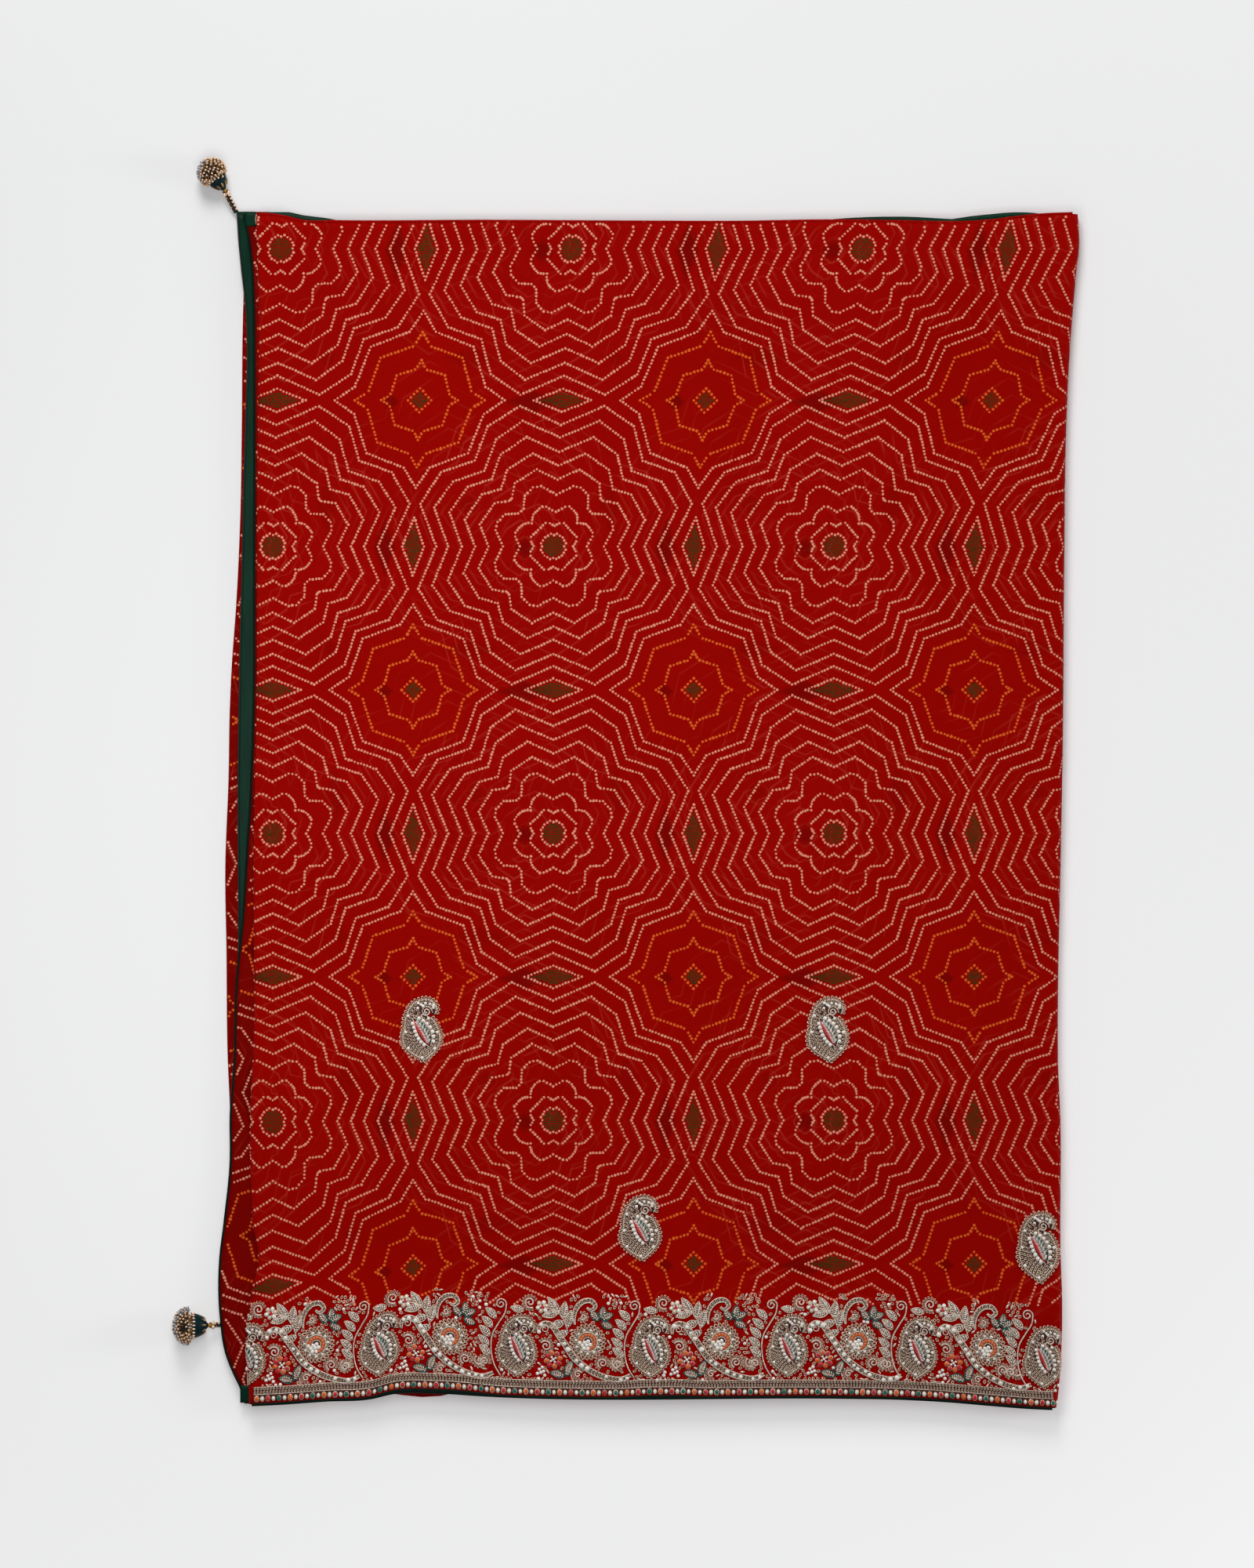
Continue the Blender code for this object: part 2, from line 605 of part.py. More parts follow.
def turned(name, profile, origin, direction, material, steps, squash):
    """A turned solid along a direction, its profile being distances along it and radii."""
    mesh = bpy.data.meshes.new(name)
    points = [(radius * MM, 0.0, along * MM) for along, radius in reversed(profile)]
    mesh.from_pydata(points, [(i, i + 1) for i in range(len(points) - 1)], [])
    item = make_object(name, mesh, material)
    turn = item.modifiers.new("turn", "SCREW")
    turn.steps = steps
    turn.render_steps = steps
    turn.use_merge_vertices = True
    turn.merge_threshold = 0.00001
    item.location = Vector(origin) * MM
    item.rotation_euler = direction.to_track_quat("Z", "X").to_euler()
    item.scale = (squash, 1.0, 1.0)
    return item


def tassel_head(name, origin, direction, radius, depth):
    """A domed head with short locks that stand out all round from its backing."""
    solid = bmesh.new()
    bmesh.ops.create_uvsphere(solid, u_segments=LOCK_COLUMNS, v_segments=LOCK_ROWS, radius=1.0)
    core = radius - LOCK_LENGTH
    for vert in solid.verts:
        along = max(vert.co.z, HEAD_BACK) - HEAD_BACK
        vert.co = Vector((vert.co.x * core, vert.co.y * core, along * depth)) * MM
    solid.normal_update()
    faces = [f for f in solid.faces if len(f.verts) == 4 and f.normal.z > HEAD_BACK
             and f.calc_center_median().z > 0.0]
    bmesh.ops.inset_individual(solid, faces=faces, thickness=core * LOCK_INSET * MM)
    for share, size in LOCK_STAGES:
        grown = bmesh.ops.extrude_discrete_faces(solid, faces=faces)["faces"]
        for face in grown:
            centre = face.calc_center_median()
            out = Vector((centre.x, centre.y, max(centre.z, 0.0) * LOCK_LIFT)).normalized()
            moved = centre + out * LOCK_LENGTH * share * MM
            for vert in face.verts:
                vert.co = moved + (vert.co - centre) * size
        faces = grown
    bmesh.ops.recalc_face_normals(solid, faces=solid.faces)
    mesh = bpy.data.meshes.new(name)
    solid.to_mesh(mesh)
    solid.free()
    item = make_object(name, mesh, GOLD)
    item.location = Vector(origin) * MM
    item.rotation_euler = direction.to_track_quat("Z", "X").to_euler()
    item.scale = (TASSEL_SQUASH, 1.0, 1.0)
    return item


def neck_profile(reach):
    """Profile of a short string of beads, with a fine thread showing at each end."""
    rows = [(0.0, 0.0), (NECK_THREAD * 0.4, NECK_THREAD)]
    bead = (reach - 1.2) / NECK_BEADS
    for index in range(NECK_BEADS):
        rows += [(0.6 + bead * (index + share), radius) for share, radius in BEAD_PROFILE]
    return rows + [(reach - NECK_THREAD * 0.4, NECK_THREAD), (reach, 0.0)]


def tassels():
    """Two tassels, each a beaded neck, a covered cup and a head of bead strings."""
    for name, root_x, root_y, level, neck_x, neck_y, heading, radius, depth in TASSELS:
        turn, lean = math.radians(heading), math.sin(TASSEL_TILT)
        level_part = math.cos(TASSEL_TILT)
        along = Vector((math.cos(turn) * level_part, math.sin(turn) * level_part, lean))
        head_z = radius * TASSEL_SQUASH + GAP - TASSEL_SETTLE
        root = Vector((root_x, root_y, float(level_height(level, root_x, root_y))))
        cup = Vector((neck_x, neck_y, head_z - CUP_LENGTH * lean))
        neck = cup - root
        turned(f"tassel_{name}_neck", neck_profile(neck.length - GAP), root,
               neck.normalized(), GOLD, 8, 1.0)
        wall = CUP_PROFILE * (CUP_LENGTH, radius * CUP_RADIUS_SHARE)
        profile = [(0.0, 0.0), (0.1, CUP_SEAT), *wall, (CUP_LENGTH, 0.0)]
        turned(f"tassel_{name}_cup", profile, cup, along, GREEN_SATIN, 16, TASSEL_SQUASH)
        seat = cup + along * (CUP_LENGTH + GAP)
        tassel_head(f"tassel_{name}_head", seat, along, radius, depth)


def build():
    """Make every piece, from the underside up."""
    underside()
    left_fold()
    free_end("free_end_c", END_C_EDGE, LEVEL_END_C, WALL, heap_side, END_C_SPAN, CLOTH)
    free_end("free_end_c_facing", END_C_EDGE, LEVEL_FACING, FACING_WALL, facing_side,
             END_C_SPAN, GREEN_SATIN)
    free_end("free_end_b", END_B_EDGE, LEVEL_END_B, WALL, heap_side, END_B_SPAN, CLOTH)
    hidden_layers()
    top_stretch()
    hem_cords()
    embroidery()
    tassels()


clear_scene()
PART = bpy.data.collections.new("bandhani_saree")
bpy.context.scene.collection.children.link(PART)
CLOTH = principled("silk_georgette_red", RED, 0.62)
GREEN_SATIN = principled("satin_bottle_green", GREEN, 0.42)
THREAD = principled("metal_thread_work", METAL_THREAD, 0.38, 0.7)
GOLD = principled("gold_bead_work", GOLD_BEAD, 0.35, 0.7)
build()
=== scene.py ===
"""How a bandhani saree looks, folded three times in half and laid flat.

Lengths are in millimetres until a mesh is made.  +X is right, +Y up the cloth and +Z up,
with the origin under the middle of the whole outline.
"""

import math

import bpy
import numpy as np
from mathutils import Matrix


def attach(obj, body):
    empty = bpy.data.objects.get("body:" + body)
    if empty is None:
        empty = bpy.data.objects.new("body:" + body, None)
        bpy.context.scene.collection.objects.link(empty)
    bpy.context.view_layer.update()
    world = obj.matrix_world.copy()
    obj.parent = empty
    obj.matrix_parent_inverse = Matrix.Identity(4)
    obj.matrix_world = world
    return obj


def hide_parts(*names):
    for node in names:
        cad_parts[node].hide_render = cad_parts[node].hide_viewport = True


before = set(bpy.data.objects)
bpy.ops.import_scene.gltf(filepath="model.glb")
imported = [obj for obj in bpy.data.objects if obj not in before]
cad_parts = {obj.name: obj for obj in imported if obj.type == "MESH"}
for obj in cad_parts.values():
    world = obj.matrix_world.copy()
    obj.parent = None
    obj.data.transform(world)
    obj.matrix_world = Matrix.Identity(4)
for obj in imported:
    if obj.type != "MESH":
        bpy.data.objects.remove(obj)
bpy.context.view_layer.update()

MM = 0.001
RANDOM = np.random.default_rng(7)

# The heap of cloth, in the same sizes as its solids
WALL = 1.2
GAP = 0.3
PITCH = 1.6
HEM_CORD = 1.6
LEVEL_FOLD = 1
LEVEL_END_C = 2
LEVEL_FACING = 3
LEVEL_END_B = 4
LEVEL_LIP = 5
LEVEL_TOP = 8
HEAP_LEFT = -337.0
UNDER_RIGHT = 388.0
LEFT_FOLD_DEPTH = 2.2
RIGHT_FOLD_DEPTH = 5.5
STRIP_FOLD_DEPTH = 0.8
FACING_WIDTH = 18.5
FACING_TAPER_START = -650.0
FACING_TAPER = 150.0
INNER_FOLD_SETBACK = 5.4
LEFT_FOLD_SPAN = (-580.0, 536.0)
END_C_SPAN = (-582.0, 540.0)
END_B_SPAN = (-584.0, 538.0)
END_B_CORD_SPAN = (-583.0, 537.0)
NEAR_LINE = -579.0
FAR_LINE = 532.0
CLOTH_WIDTH = 1118.0
HIDDEN_TUCK = 2.0
HEM_TUCK = 0.9
HEM_TOP = -430.0
HEM_RAMP = 90.0
HEM_EXTRA = 0.40
HEM_FADE = 60.0
SWELL = 0.035
RIDGE = 0.07
RIDGE_INSET = 12.0
RIDGE_WIDTH = 45.0

# A shell of cloth, and how far its middle lies from its solid's so that their faces meet
CLOTH = 0.7
OUT = (WALL - CLOTH) / 2
CELL = 6.0

# Outlines seen from above: each row is a place along the edge, then the edge there
TOP_LEFT_EDGE = np.array([  # y, x
    (-583.0, -355.7), (-501.8, -356.5), (-476.7, -353.5), (-449.4, -347.6), (-414.0, -352.8),
    (-388.9, -354.2), (-321.0, -355.3), (-250.9, -352.4), (-59.0, -352.0), (73.8, -349.1),
    (250.9, -348.6), (357.9, -347.6), (414.0, -346.9), (470.8, -347.6), (536.7, -349.4)])
TOP_RIGHT_EDGE = np.array([  # y, x
    (-588.0, 404.5), (-579.3, 405.9), (-555.0, 408.1), (-495.9, 410.3), (-436.9, 408.9),
    (-318.8, 408.9), (-259.8, 406.6), (-200.7, 406.6), (-82.7, 408.9), (35.4, 411.1),
    (212.5, 412.5), (330.6, 414.2), (400.0, 417.2), (478.2, 423.4),
    (511.4, 426.6), (538.7, 425.1)])
TOP_FAR_EDGE = np.array([  # x, y
    (-349.4, 536.7), (-335.1, 537.3), (-318.8, 534.5), (-307.7, 531.7), (-273.1, 531.0),
    (-132.8, 531.4), (0.0, 530.6), (103.3, 530.3), (191.9, 531.7), (256.1, 531.0),
    (319.6, 530.3), (343.9, 531.9), (364.6, 534.6), (383.8, 536.7), (423.6, 538.6)])
TOP_NEAR_EDGE = np.array([  # x, y
    (-355.7, -585.2), (-326.2, -583.8), (-283.4, -580.8), (-241.3, -578.6), (-219.9, -573.8),
    (-177.9, -573.4), (-132.8, -576.1), (206.6, -578.2), (251.7, -579.0), (296.7, -581.2),
    (342.4, -584.9), (372.0, -587.2), (404.0, -588.8)])
END_B_EDGE = np.array([  # y, x
    (-584.0, -361.0), (-569.7, -363.1), (-557.2, -369.0), (-538.7, -376.4), (-501.8, -382.3),
    (-448.0, -383.0), (-414.0, -379.0), (-355.0, -373.1), (-312.2, -373.1), (-265.7, -369.7),
    (-184.5, -367.2), (-132.1, -362.0), (-59.0, -357.2), (0.0, -353.8), (250.9, -350.9),
    (394.1, -350.9), (454.6, -351.4), (492.2, -353.2), (521.0, -357.2), (538.0, -360.9)])
END_C_EDGE = np.array([  # y, x
    (-582.0, -359.5), (-545.0, -371.5), (-510.0, -379.4), (-440.0, -379.6), (-380.0, -374.0),
    (-280.0, -368.6), (-147.6, -367.5), (0.0, -368.0), (162.4, -365.3), (221.4, -363.8),
    (282.7, -362.7), (338.7, -360.9), (451.7, -360.9), (484.9, -364.6), (515.1, -367.5),
    (540.0, -369.0)])
LEFT_FOLD_EDGE = np.array([  # y, x
    (-580.0, -360.5), (-540.0, -369.5), (-500.0, -376.0), (-414.0, -376.5), (-321.0, -374.9),
    (-253.9, -377.5), (-152.8, -378.6), (-84.9, -379.7), (11.8, -376.4), (62.7, -375.6),
    (113.7, -373.4), (163.8, -369.7), (258.3, -365.3), (338.7, -364.0), (434.7, -363.1),
    (500.0, -361.0), (536.0, -360.0)])

# Where hidden layers show past the top stretch: level, middle x, half width, reach
FAR_CRESCENTS = ((2, -308.0, 48.0, 6.8), (6, 262.0, 100.0, 5.0), (6, 342.0, 62.0, 6.5))
NEAR_CRESCENTS = ((2, -193.0, 42.0, 7.6), (5, 26.0, 18.0, 1.6))

# Soft creases of the top stretch
CREASES = (  # middle x, middle y, heading in degrees, half length, half width, height
    (-250.0, 470.0, -18.0, 90.0, 15.0, 0.55), (-60.0, 505.0, -8.0, 130.0, 12.0, -0.45),
    (150.0, 470.0, 12.0, 110.0, 18.0, 0.5), (330.0, 430.0, 55.0, 80.0, 14.0, -0.5),
    (395.0, 300.0, 86.0, 150.0, 11.0, 0.6), (-300.0, 250.0, 78.0, 120.0, 16.0, -0.5),
    (-150.0, 300.0, 24.0, 100.0, 22.0, 0.4), (60.0, 260.0, -30.0, 120.0, 17.0, -0.4),
    (240.0, 210.0, 20.0, 90.0, 20.0, 0.45), (-320.0, 20.0, 88.0, 150.0, 12.0, 0.5),
    (-110.0, 60.0, -12.0, 140.0, 24.0, -0.35), (120.0, 20.0, 33.0, 110.0, 19.0, 0.4),
    (360.0, 40.0, 80.0, 130.0, 14.0, -0.5), (-240.0, -150.0, 14.0, 110.0, 18.0, 0.4),
    (10.0, -190.0, -22.0, 130.0, 20.0, 0.35), (270.0, -160.0, 40.0, 100.0, 16.0, -0.45),
    (-330.0, -330.0, 84.0, 110.0, 10.0, 0.55), (-150.0, -370.0, 8.0, 120.0, 14.0, -0.4),
    (110.0, -350.0, -10.0, 130.0, 16.0, 0.45), (330.0, -380.0, -60.0, 80.0, 13.0, 0.5))
CREASE_FADE = 22.0

# The tied pattern: one square cell, charted from a rosette's middle to a star's
CELL_X = 264.2
CELL_Y = 270.1
ROSETTE_AT = (-69.4, -46.5)
LEFT_ROSETTE = (-270.0, -75.0)
END_B_ROSETTE = (-461.2, -561.0)
ROSETTE_DISC = 9.4
RINGS = (  # an eighth of each ring of dots about a rosette: along the cell's axis, aside
    ((10.5, 0.0), (11.6, 3.0), (8.3, 8.3)),
    ((18.7, 0.0), (21.2, 4.4), (21.4, 8.8), (15.0, 15.0)),
    ((31.5, 0.0), (36.3, 9.0), (36.4, 12.8), (33.0, 17.3), (29.3, 20.3), (24.5, 21.5),
     (21.2, 21.2)),
    ((47.5, 0.0), (55.0, 15.0), (53.9, 22.3), (46.6, 29.6), (34.8, 30.2), (32.3, 32.3)),
    ((61.0, 0.0), (70.3, 20.0), (57.6, 39.6), (44.2, 41.6), (42.7, 42.7)),
    ((73.7, 0.0), (84.5, 24.4), (69.9, 47.4), (52.3, 52.3)),
    ((86.1, 0.0), (99.3, 31.2), (83.3, 54.5), (61.4, 61.4)),
    ((99.0, 0.0), (113.9, 35.6), (97.4, 59.2), (68.8, 68.8)),
    ((110.3, 0.0), (127.1, 39.1), (109.0, 67.7), (78.2, 78.2)))
STAR_RINGS = (  # the same about a star, and the ring's colour
    ("cream", ((78.6, 0.0), (60.3, 12.1), (47.2, 47.2))),
    ("orange", ((60.1, 0.0), (51.5, 5.2), (47.5, 8.6), (37.6, 37.6))),
    ("orange", ((35.4, 0.0), (30.0, 3.1), (27.2, 5.6), (22.1, 22.1))),
    ("orange", ((10.7, 0.0), (5.35, 5.35))))
LOZENGE = (26.6, 10.3)
STAR_LOZENGE = 8.0
GHOST_SIDES = (  # the sides of a layer below's rings: along, aside, start, gap between rings
    (0.914, -0.405, 67.4, 11.6), (0.844, 0.536, 84.4, 15.0), (0.268, 0.963, 64.4, 10.6))
DOT_STEP = {"cream": 3.05, "orange": 3.6}
DOT_RADIUS = {"cream": 1.33, "orange": 1.46, "olive": 1.05}
HEM_DOT_END = -491.0
FILL_STEP = 2.25
DOT_RISE = 0.16
DOT_LIFT = 0.02
WARP_START = 225.0
WARP_REACH = 275.0
WARP_SHIFT = 8.0
WARP_SPREAD = 0.037
WARP_MIDDLE = -334.0
WARP_RISE = 10.5
PULL_START = (-178.0, -290.0)
PULL_REACH = 170.0
PULL = 0.135

# Embroidery: where motifs lie, and two of them as centre lines with half widths
BUTTI_PLACES = ((-193.4, -231.0), (188.9, -231.0), (12.5, -417.7), (387.0, -433.2))
PAISLEY_X = (-236.2, -107.0, 18.5, 147.6, 269.4, 388.0)
PAISLEY_Y = -530.0
PAISLEY_TURN = math.radians(-6.0)
PAISLEY_SCALE = 0.86
REPEAT = 126.0
PAISLEY_NUDGE = (4.0, 1.0)
BUTTI_SCALE = 0.9
BLOOM_PLACE = (70.0, 5.5)
FLOWER_PLACE = (37.6, -11.5)
SPRIG_PLACE = (27.4, 37.6)
HOOK_PLACE = (5.0, 18.8)  # in a paisley's own place
STONE_STEP = 10.55
HEM_CORNER = np.array((-356.0, -563.0))
HEM_LONG = 770.0
HEM_TALL = 90.0
FILLER_STEP = 4.1
WRAP_KEPT = 4.0
MOUND_FOOT = -0.1
PAISLEY = np.array([
    (2.2, -33.5, 0.8), (2.2, -30.0, 4.6), (2.0, -26.0, 10.5), (1.5, -20.5, 16.5),
    (0.0, -10.0, 21.0),
    (-2.0, 1.0, 19.0), (-5.5, 11.5, 13.5), (-5.5, 20.5, 8.6), (0.5, 26.6, 6.0),
    (8.0, 27.0, 5.2), (13.0, 21.5, 4.4), (12.8, 16.0, 2.6)])
VINE = np.array([
    (24.0, 12.5, 1.2), (24.4, 18.6, 2.1), (29.6, 22.2, 2.6), (35.8, 20.6, 2.8),
    (42.6, 11.6, 2.9), (49.0, 2.6, 3.0), (56.6, -8.8, 3.0), (66.6, -17.6, 3.0),
    (77.6, -24.2, 2.9), (90.0, -28.4, 2.8), (102.0, -29.4, 2.5), (110.4, -25.6, 1.8)])

# Tassels: name, root, the cup's narrow end, heading, the cup's size, and then of the bushy
# head: its radius, its depth, how far its middle lies beyond the cup and how far round it goes
TASSELS = (
    ("near_tassel", -380.1, -510.0, -395.0, -510.0, 180.0, 18.3, 18.3, 12.4, 5.6, 1.62),
    ("far_tassel", -369.3, 540.3, -380.0, 560.8, 126.0, 15.0, 14.6, 11.4, 6.4, 2.3))
TASSEL_TILT = math.radians(12.0)
TASSEL_SQUASH = 0.84
TASSEL_SETTLE = 2.0
CUP_LENGTH = 13.0
CUP_RADIUS_SHARE = 0.6
PETALS = 9
STRINGS = 150
GOLDEN_TURN = 2.39996
SILVER_SIDE = {"near_tassel": 0.0, "far_tassel": 1.0}
HOLLOW_SHARE = {"near_tassel": 0.25, "far_tassel": 0.0}


def eased(rows, at):
    """Read a two-column table, with a cubic between rows whose slopes are the mean ones."""
    along, value = rows[:, 0], rows[:, 1]
    slope = np.gradient(value, along)
    at = np.clip(at, along[0], along[-1])
    cell = np.clip(np.searchsorted(along, at, side="right") - 1, 0, len(along) - 2)
    step = along[cell + 1] - along[cell]
    t = (at - along[cell]) / step
    return (value[cell] * (1 + 2 * t) * (1 - t) ** 2 + value[cell + 1] * t * t * (3 - 2 * t)
            + slope[cell] * step * t * (1 - t) ** 2 + slope[cell + 1] * step * t * t * (t - 1))


def smoothstep(t):
    """Three t squared less two t cubed, from 0 to 1."""
    t = np.clip(t, 0.0, 1.0)
    return t * t * (3.0 - 2.0 * t)


def between(near, far, share):
    """The place a share of the way from near to far."""
    return near + (far - near) * share


def grid_of(x, y, z):
    """A grid of points, rows by columns by 3, from places that may be shared by row or column."""
    return np.stack(np.broadcast_arrays(x, y, z), 2)


def clock(count, start=0.0):
    """Even angles round a circle."""
    return (np.arange(count) + start) / count * 2 * math.pi


def ray(angle):
    """Unit arrows at angles: (cos, sin)."""
    return np.stack((np.cos(angle), np.sin(angle)), -1)


def unit(arrows):
    """Arrows made one long."""
    return arrows / np.maximum(np.linalg.norm(arrows, axis=1), 1e-9)[:, None]


def heap_scale(x, y):
    """Thickness of the heap: 1, a rise over the hem, two low waves and a bell by the right fold."""
    hem = HEM_EXTRA * smoothstep((HEM_TOP - y) / HEM_RAMP)
    swell = SWELL * (np.sin(x / 62.0 + 0.6) * np.cos(y / 88.0 - 0.4)
                     + 0.6 * np.sin((x + y) / 97.0 + 1.1))
    crest = eased(TOP_RIGHT_EDGE, y) - RIDGE_INSET
    return 1.0 + hem + swell + RIDGE * np.exp(-((crest - x) / RIDGE_WIDTH) ** 2)


def level_height(level, x, y):
    """Height of the middle of a layer: half a wall, then a scaled pitch for each level."""
    return WALL / 2 + level * PITCH * heap_scale(x, y)


def crease_rise(x, y):
    """Sum of bells: each crease falls off as exp(-(along/length)^2 - (across/width)^2)."""
    rise = np.zeros(np.broadcast(x, y).shape)
    for at_x, at_y, heading, length, width, height in CREASES:
        cos, sin = ray(math.radians(heading))
        along = (x - at_x) * cos + (y - at_y) * sin
        across = (y - at_y) * cos - (x - at_x) * sin
        rise += height * np.exp(-(along / length) ** 2 - (across / width) ** 2)
    left, right = top_crests(y)
    inside = smoothstep((x - left) / CREASE_FADE) * smoothstep((right - x) / CREASE_FADE)
    return rise * inside * (1.0 - smoothstep((HEM_TOP - y) / HEM_FADE))


def cloth_edges(x):
    """Near and far edges of the top stretch's cloth, inside the cord that binds them."""
    inside = HEM_CORD + GAP
    return eased(TOP_NEAR_EDGE, x) + inside, eased(TOP_FAR_EDGE, x) - inside


def top_crests(y):
    """Middles of the top stretch's left and right folds."""
    return (eased(TOP_LEFT_EDGE, y) + WALL / 2 + LEFT_FOLD_DEPTH,
            eased(TOP_RIGHT_EDGE, y) - WALL / 2 - RIGHT_FOLD_DEPTH)


def half_turn(depth, rise):
    """Length of half an ellipse: pi times the root mean square of its half axes."""
    return math.pi * np.sqrt((depth ** 2 + rise ** 2) / 2)


def top_place(s, y, lift=0.0):
    """A point of the top stretch's middle surface.

    s is x between the two folds.  Past either of them it runs on round a half ellipse, by
    its own length, and then back under the heap.  lift moves the point outwards.
    """
    left, right = top_crests(y)
    out = OUT + lift
    x = np.clip(s, left, right)
    high = level_height(LEVEL_TOP, x, y)
    z = high + out + crease_rise(x, y)
    place_x = x
    for side, low, depth, over in (
            (1.0, np.full_like(high, WALL / 2), RIGHT_FOLD_DEPTH, np.maximum(s - right, 0.0)),
            (-1.0, level_height(LEVEL_LIP, x, y), LEFT_FOLD_DEPTH, np.maximum(left - s, 0.0))):
        rise = (high - low) / 2
        length = half_turn(depth, rise)
        angle = np.clip(over / length, 0.0, 1.0) * math.pi
        place_x = place_x + side * ((depth + out) * np.sin(angle) - np.maximum(over - length, 0.0))
        z = z + (rise + out) * (np.cos(angle) - 1.0)
    return place_x, z


def warp(x, y):
    """Pull the pattern askew towards the far hem and the near left corner, as it is laid."""
    t = np.clip((y - WARP_START) / WARP_REACH, 0.0, 1.2)
    drop = PULL * np.maximum(PULL_START[0] - x, 0.0) * smoothstep((PULL_START[1] - y) / PULL_REACH)
    return (x + t * (WARP_SHIFT + WARP_SPREAD * (x - WARP_MIDDLE)),
            y + WARP_RISE * t * t - drop)


def unwarp(x, y):
    """The pattern's own place under a place on the cloth, by three steps of correction."""
    px, py = np.array(x, float), np.array(y, float)
    for _ in range(3):
        wx, wy = warp(px, py)
        px, py = px + x - wx, py + y - wy
    return px, py


def hex_colour(code):
    """An sRGB hex colour as linear red, green, blue and alpha."""
    srgb = np.array([int(code[i:i + 2], 16) for i in (0, 2, 4)]) / 255.0
    linear = np.where(srgb <= 0.04045, srgb / 12.92, ((srgb + 0.055) / 1.055) ** 2.4)
    return (*linear.tolist(), 1.0)


def set_inputs(tree, node, inputs):
    """Give a node's sockets their values, or link them to other nodes' outputs."""
    for key, value in inputs.items():
        if isinstance(value, bpy.types.NodeSocket):
            tree.links.new(value, node.inputs[key])
        else:
            node.inputs[key].default_value = value


def add_node(tree, kind, inputs, output=0, **settings):
    """The output of a new node with these inputs and settings."""
    node = tree.nodes.new("ShaderNode" + kind)
    for name, value in settings.items():
        setattr(node, name, value)
    set_inputs(tree, node, inputs)
    return node.outputs[output]


def maths(tree, operation, first, second=0.0, third=0.0, clamp=False):
    """The output of a Math node."""
    return add_node(tree, "Math", {0: first, 1: second, 2: third}, operation=operation,
                    use_clamp=clamp)


def noise(tree, place, scale, detail=2.0):
    """The output of a noise texture with so many grains to a metre."""
    return add_node(tree, "TexNoise", {"Vector": place, "Scale": scale, "Detail": detail})


def ramp(tree, value, low, high, to_low=0.0, to_high=1.0, shape="LINEAR"):
    """A value that goes from one bound to another while its input does."""
    return add_node(tree, "MapRange", {"Value": value, "From Min": low, "From Max": high,
                                       "To Min": to_low, "To Max": to_high},
                    interpolation_type=shape)


def mixed(tree, share, first, second):
    """A share of the second colour in the first.  A colour is a hex code or an output."""
    first, second = (hex_colour(c) if isinstance(c, str) else c for c in (first, second))
    return add_node(tree, "MixRGB", {0: share, 1: first, 2: second})


def bumped(tree, height, strength, distance, under=None):
    """The output of a Bump node, laid over another one's if there is one."""
    inputs = {"Height": height, "Strength": strength, "Distance": distance}
    if under:
        inputs["Normal"] = under
    return add_node(tree, "Bump", inputs)


def new_material(name, **values):
    """A material, its node tree and its shader, with the shader's own values set."""
    material = bpy.data.materials.new(name)
    material.use_nodes = True
    tree = material.node_tree
    shader = tree.nodes["Principled BSDF"]
    set_inputs(tree, shader, {key.replace("_", " ").title().replace("Ior", "IOR"): value
                              for key, value in values.items()})
    return material, tree, shader


def ghost_pattern(tree, x, y):
    """How strongly a layer below shows through: its ring lines, and its olive patches.

    The place is folded into an eighth of a cell.  A ring's number there is the largest of
    three straight functions, one for each side of the ring, and a line is where it is whole.
    """
    def smooth(value, full, none):
        return ramp(tree, value, none, full, shape="SMOOTHSTEP")

    u, v = (maths(tree, "ABSOLUTE", maths(tree, "WRAP", value, CELL_X / 2, -CELL_X / 2))
            for value in (x, maths(tree, "MULTIPLY", y, CELL_X / CELL_Y)))
    major, minor = maths(tree, "MAXIMUM", u, v), maths(tree, "MINIMUM", u, v)
    ring = None
    for along, aside, start, gap in GHOST_SIDES:
        number = maths(tree, "MULTIPLY_ADD", major, along / gap, 6.0 - start / gap)
        number = maths(tree, "MULTIPLY_ADD", minor, aside / gap, number)
        ring = number if ring is None else maths(tree, "MAXIMUM", ring, number)
    line = smooth(maths(tree, "PINGPONG", ring, 0.5), 0.02, 0.10)
    line = maths(tree, "MULTIPLY", line, smooth(ring, 9.2, 9.6))
    far_u, far_v = (maths(tree, "SUBTRACT", CELL_X / 2, w) for w in (u, v))
    patch = maths(tree, "SUBTRACT", 1.0, maths(tree, "DIVIDE", ring, 0.9))
    for first, second, long, short in ((far_u, v, LOZENGE[1], LOZENGE[0]),
                                       (u, far_v, LOZENGE[0], LOZENGE[1]),
                                       (far_u, far_v, STAR_LOZENGE, STAR_LOZENGE)):
        inside = maths(tree, "MULTIPLY_ADD", first, -1.0 / long, 1.0)
        inside = maths(tree, "MULTIPLY_ADD", second, -1.0 / short, inside)
        patch = maths(tree, "MAXIMUM", patch, inside)
    return line, smooth(patch, 0.35, -0.25)


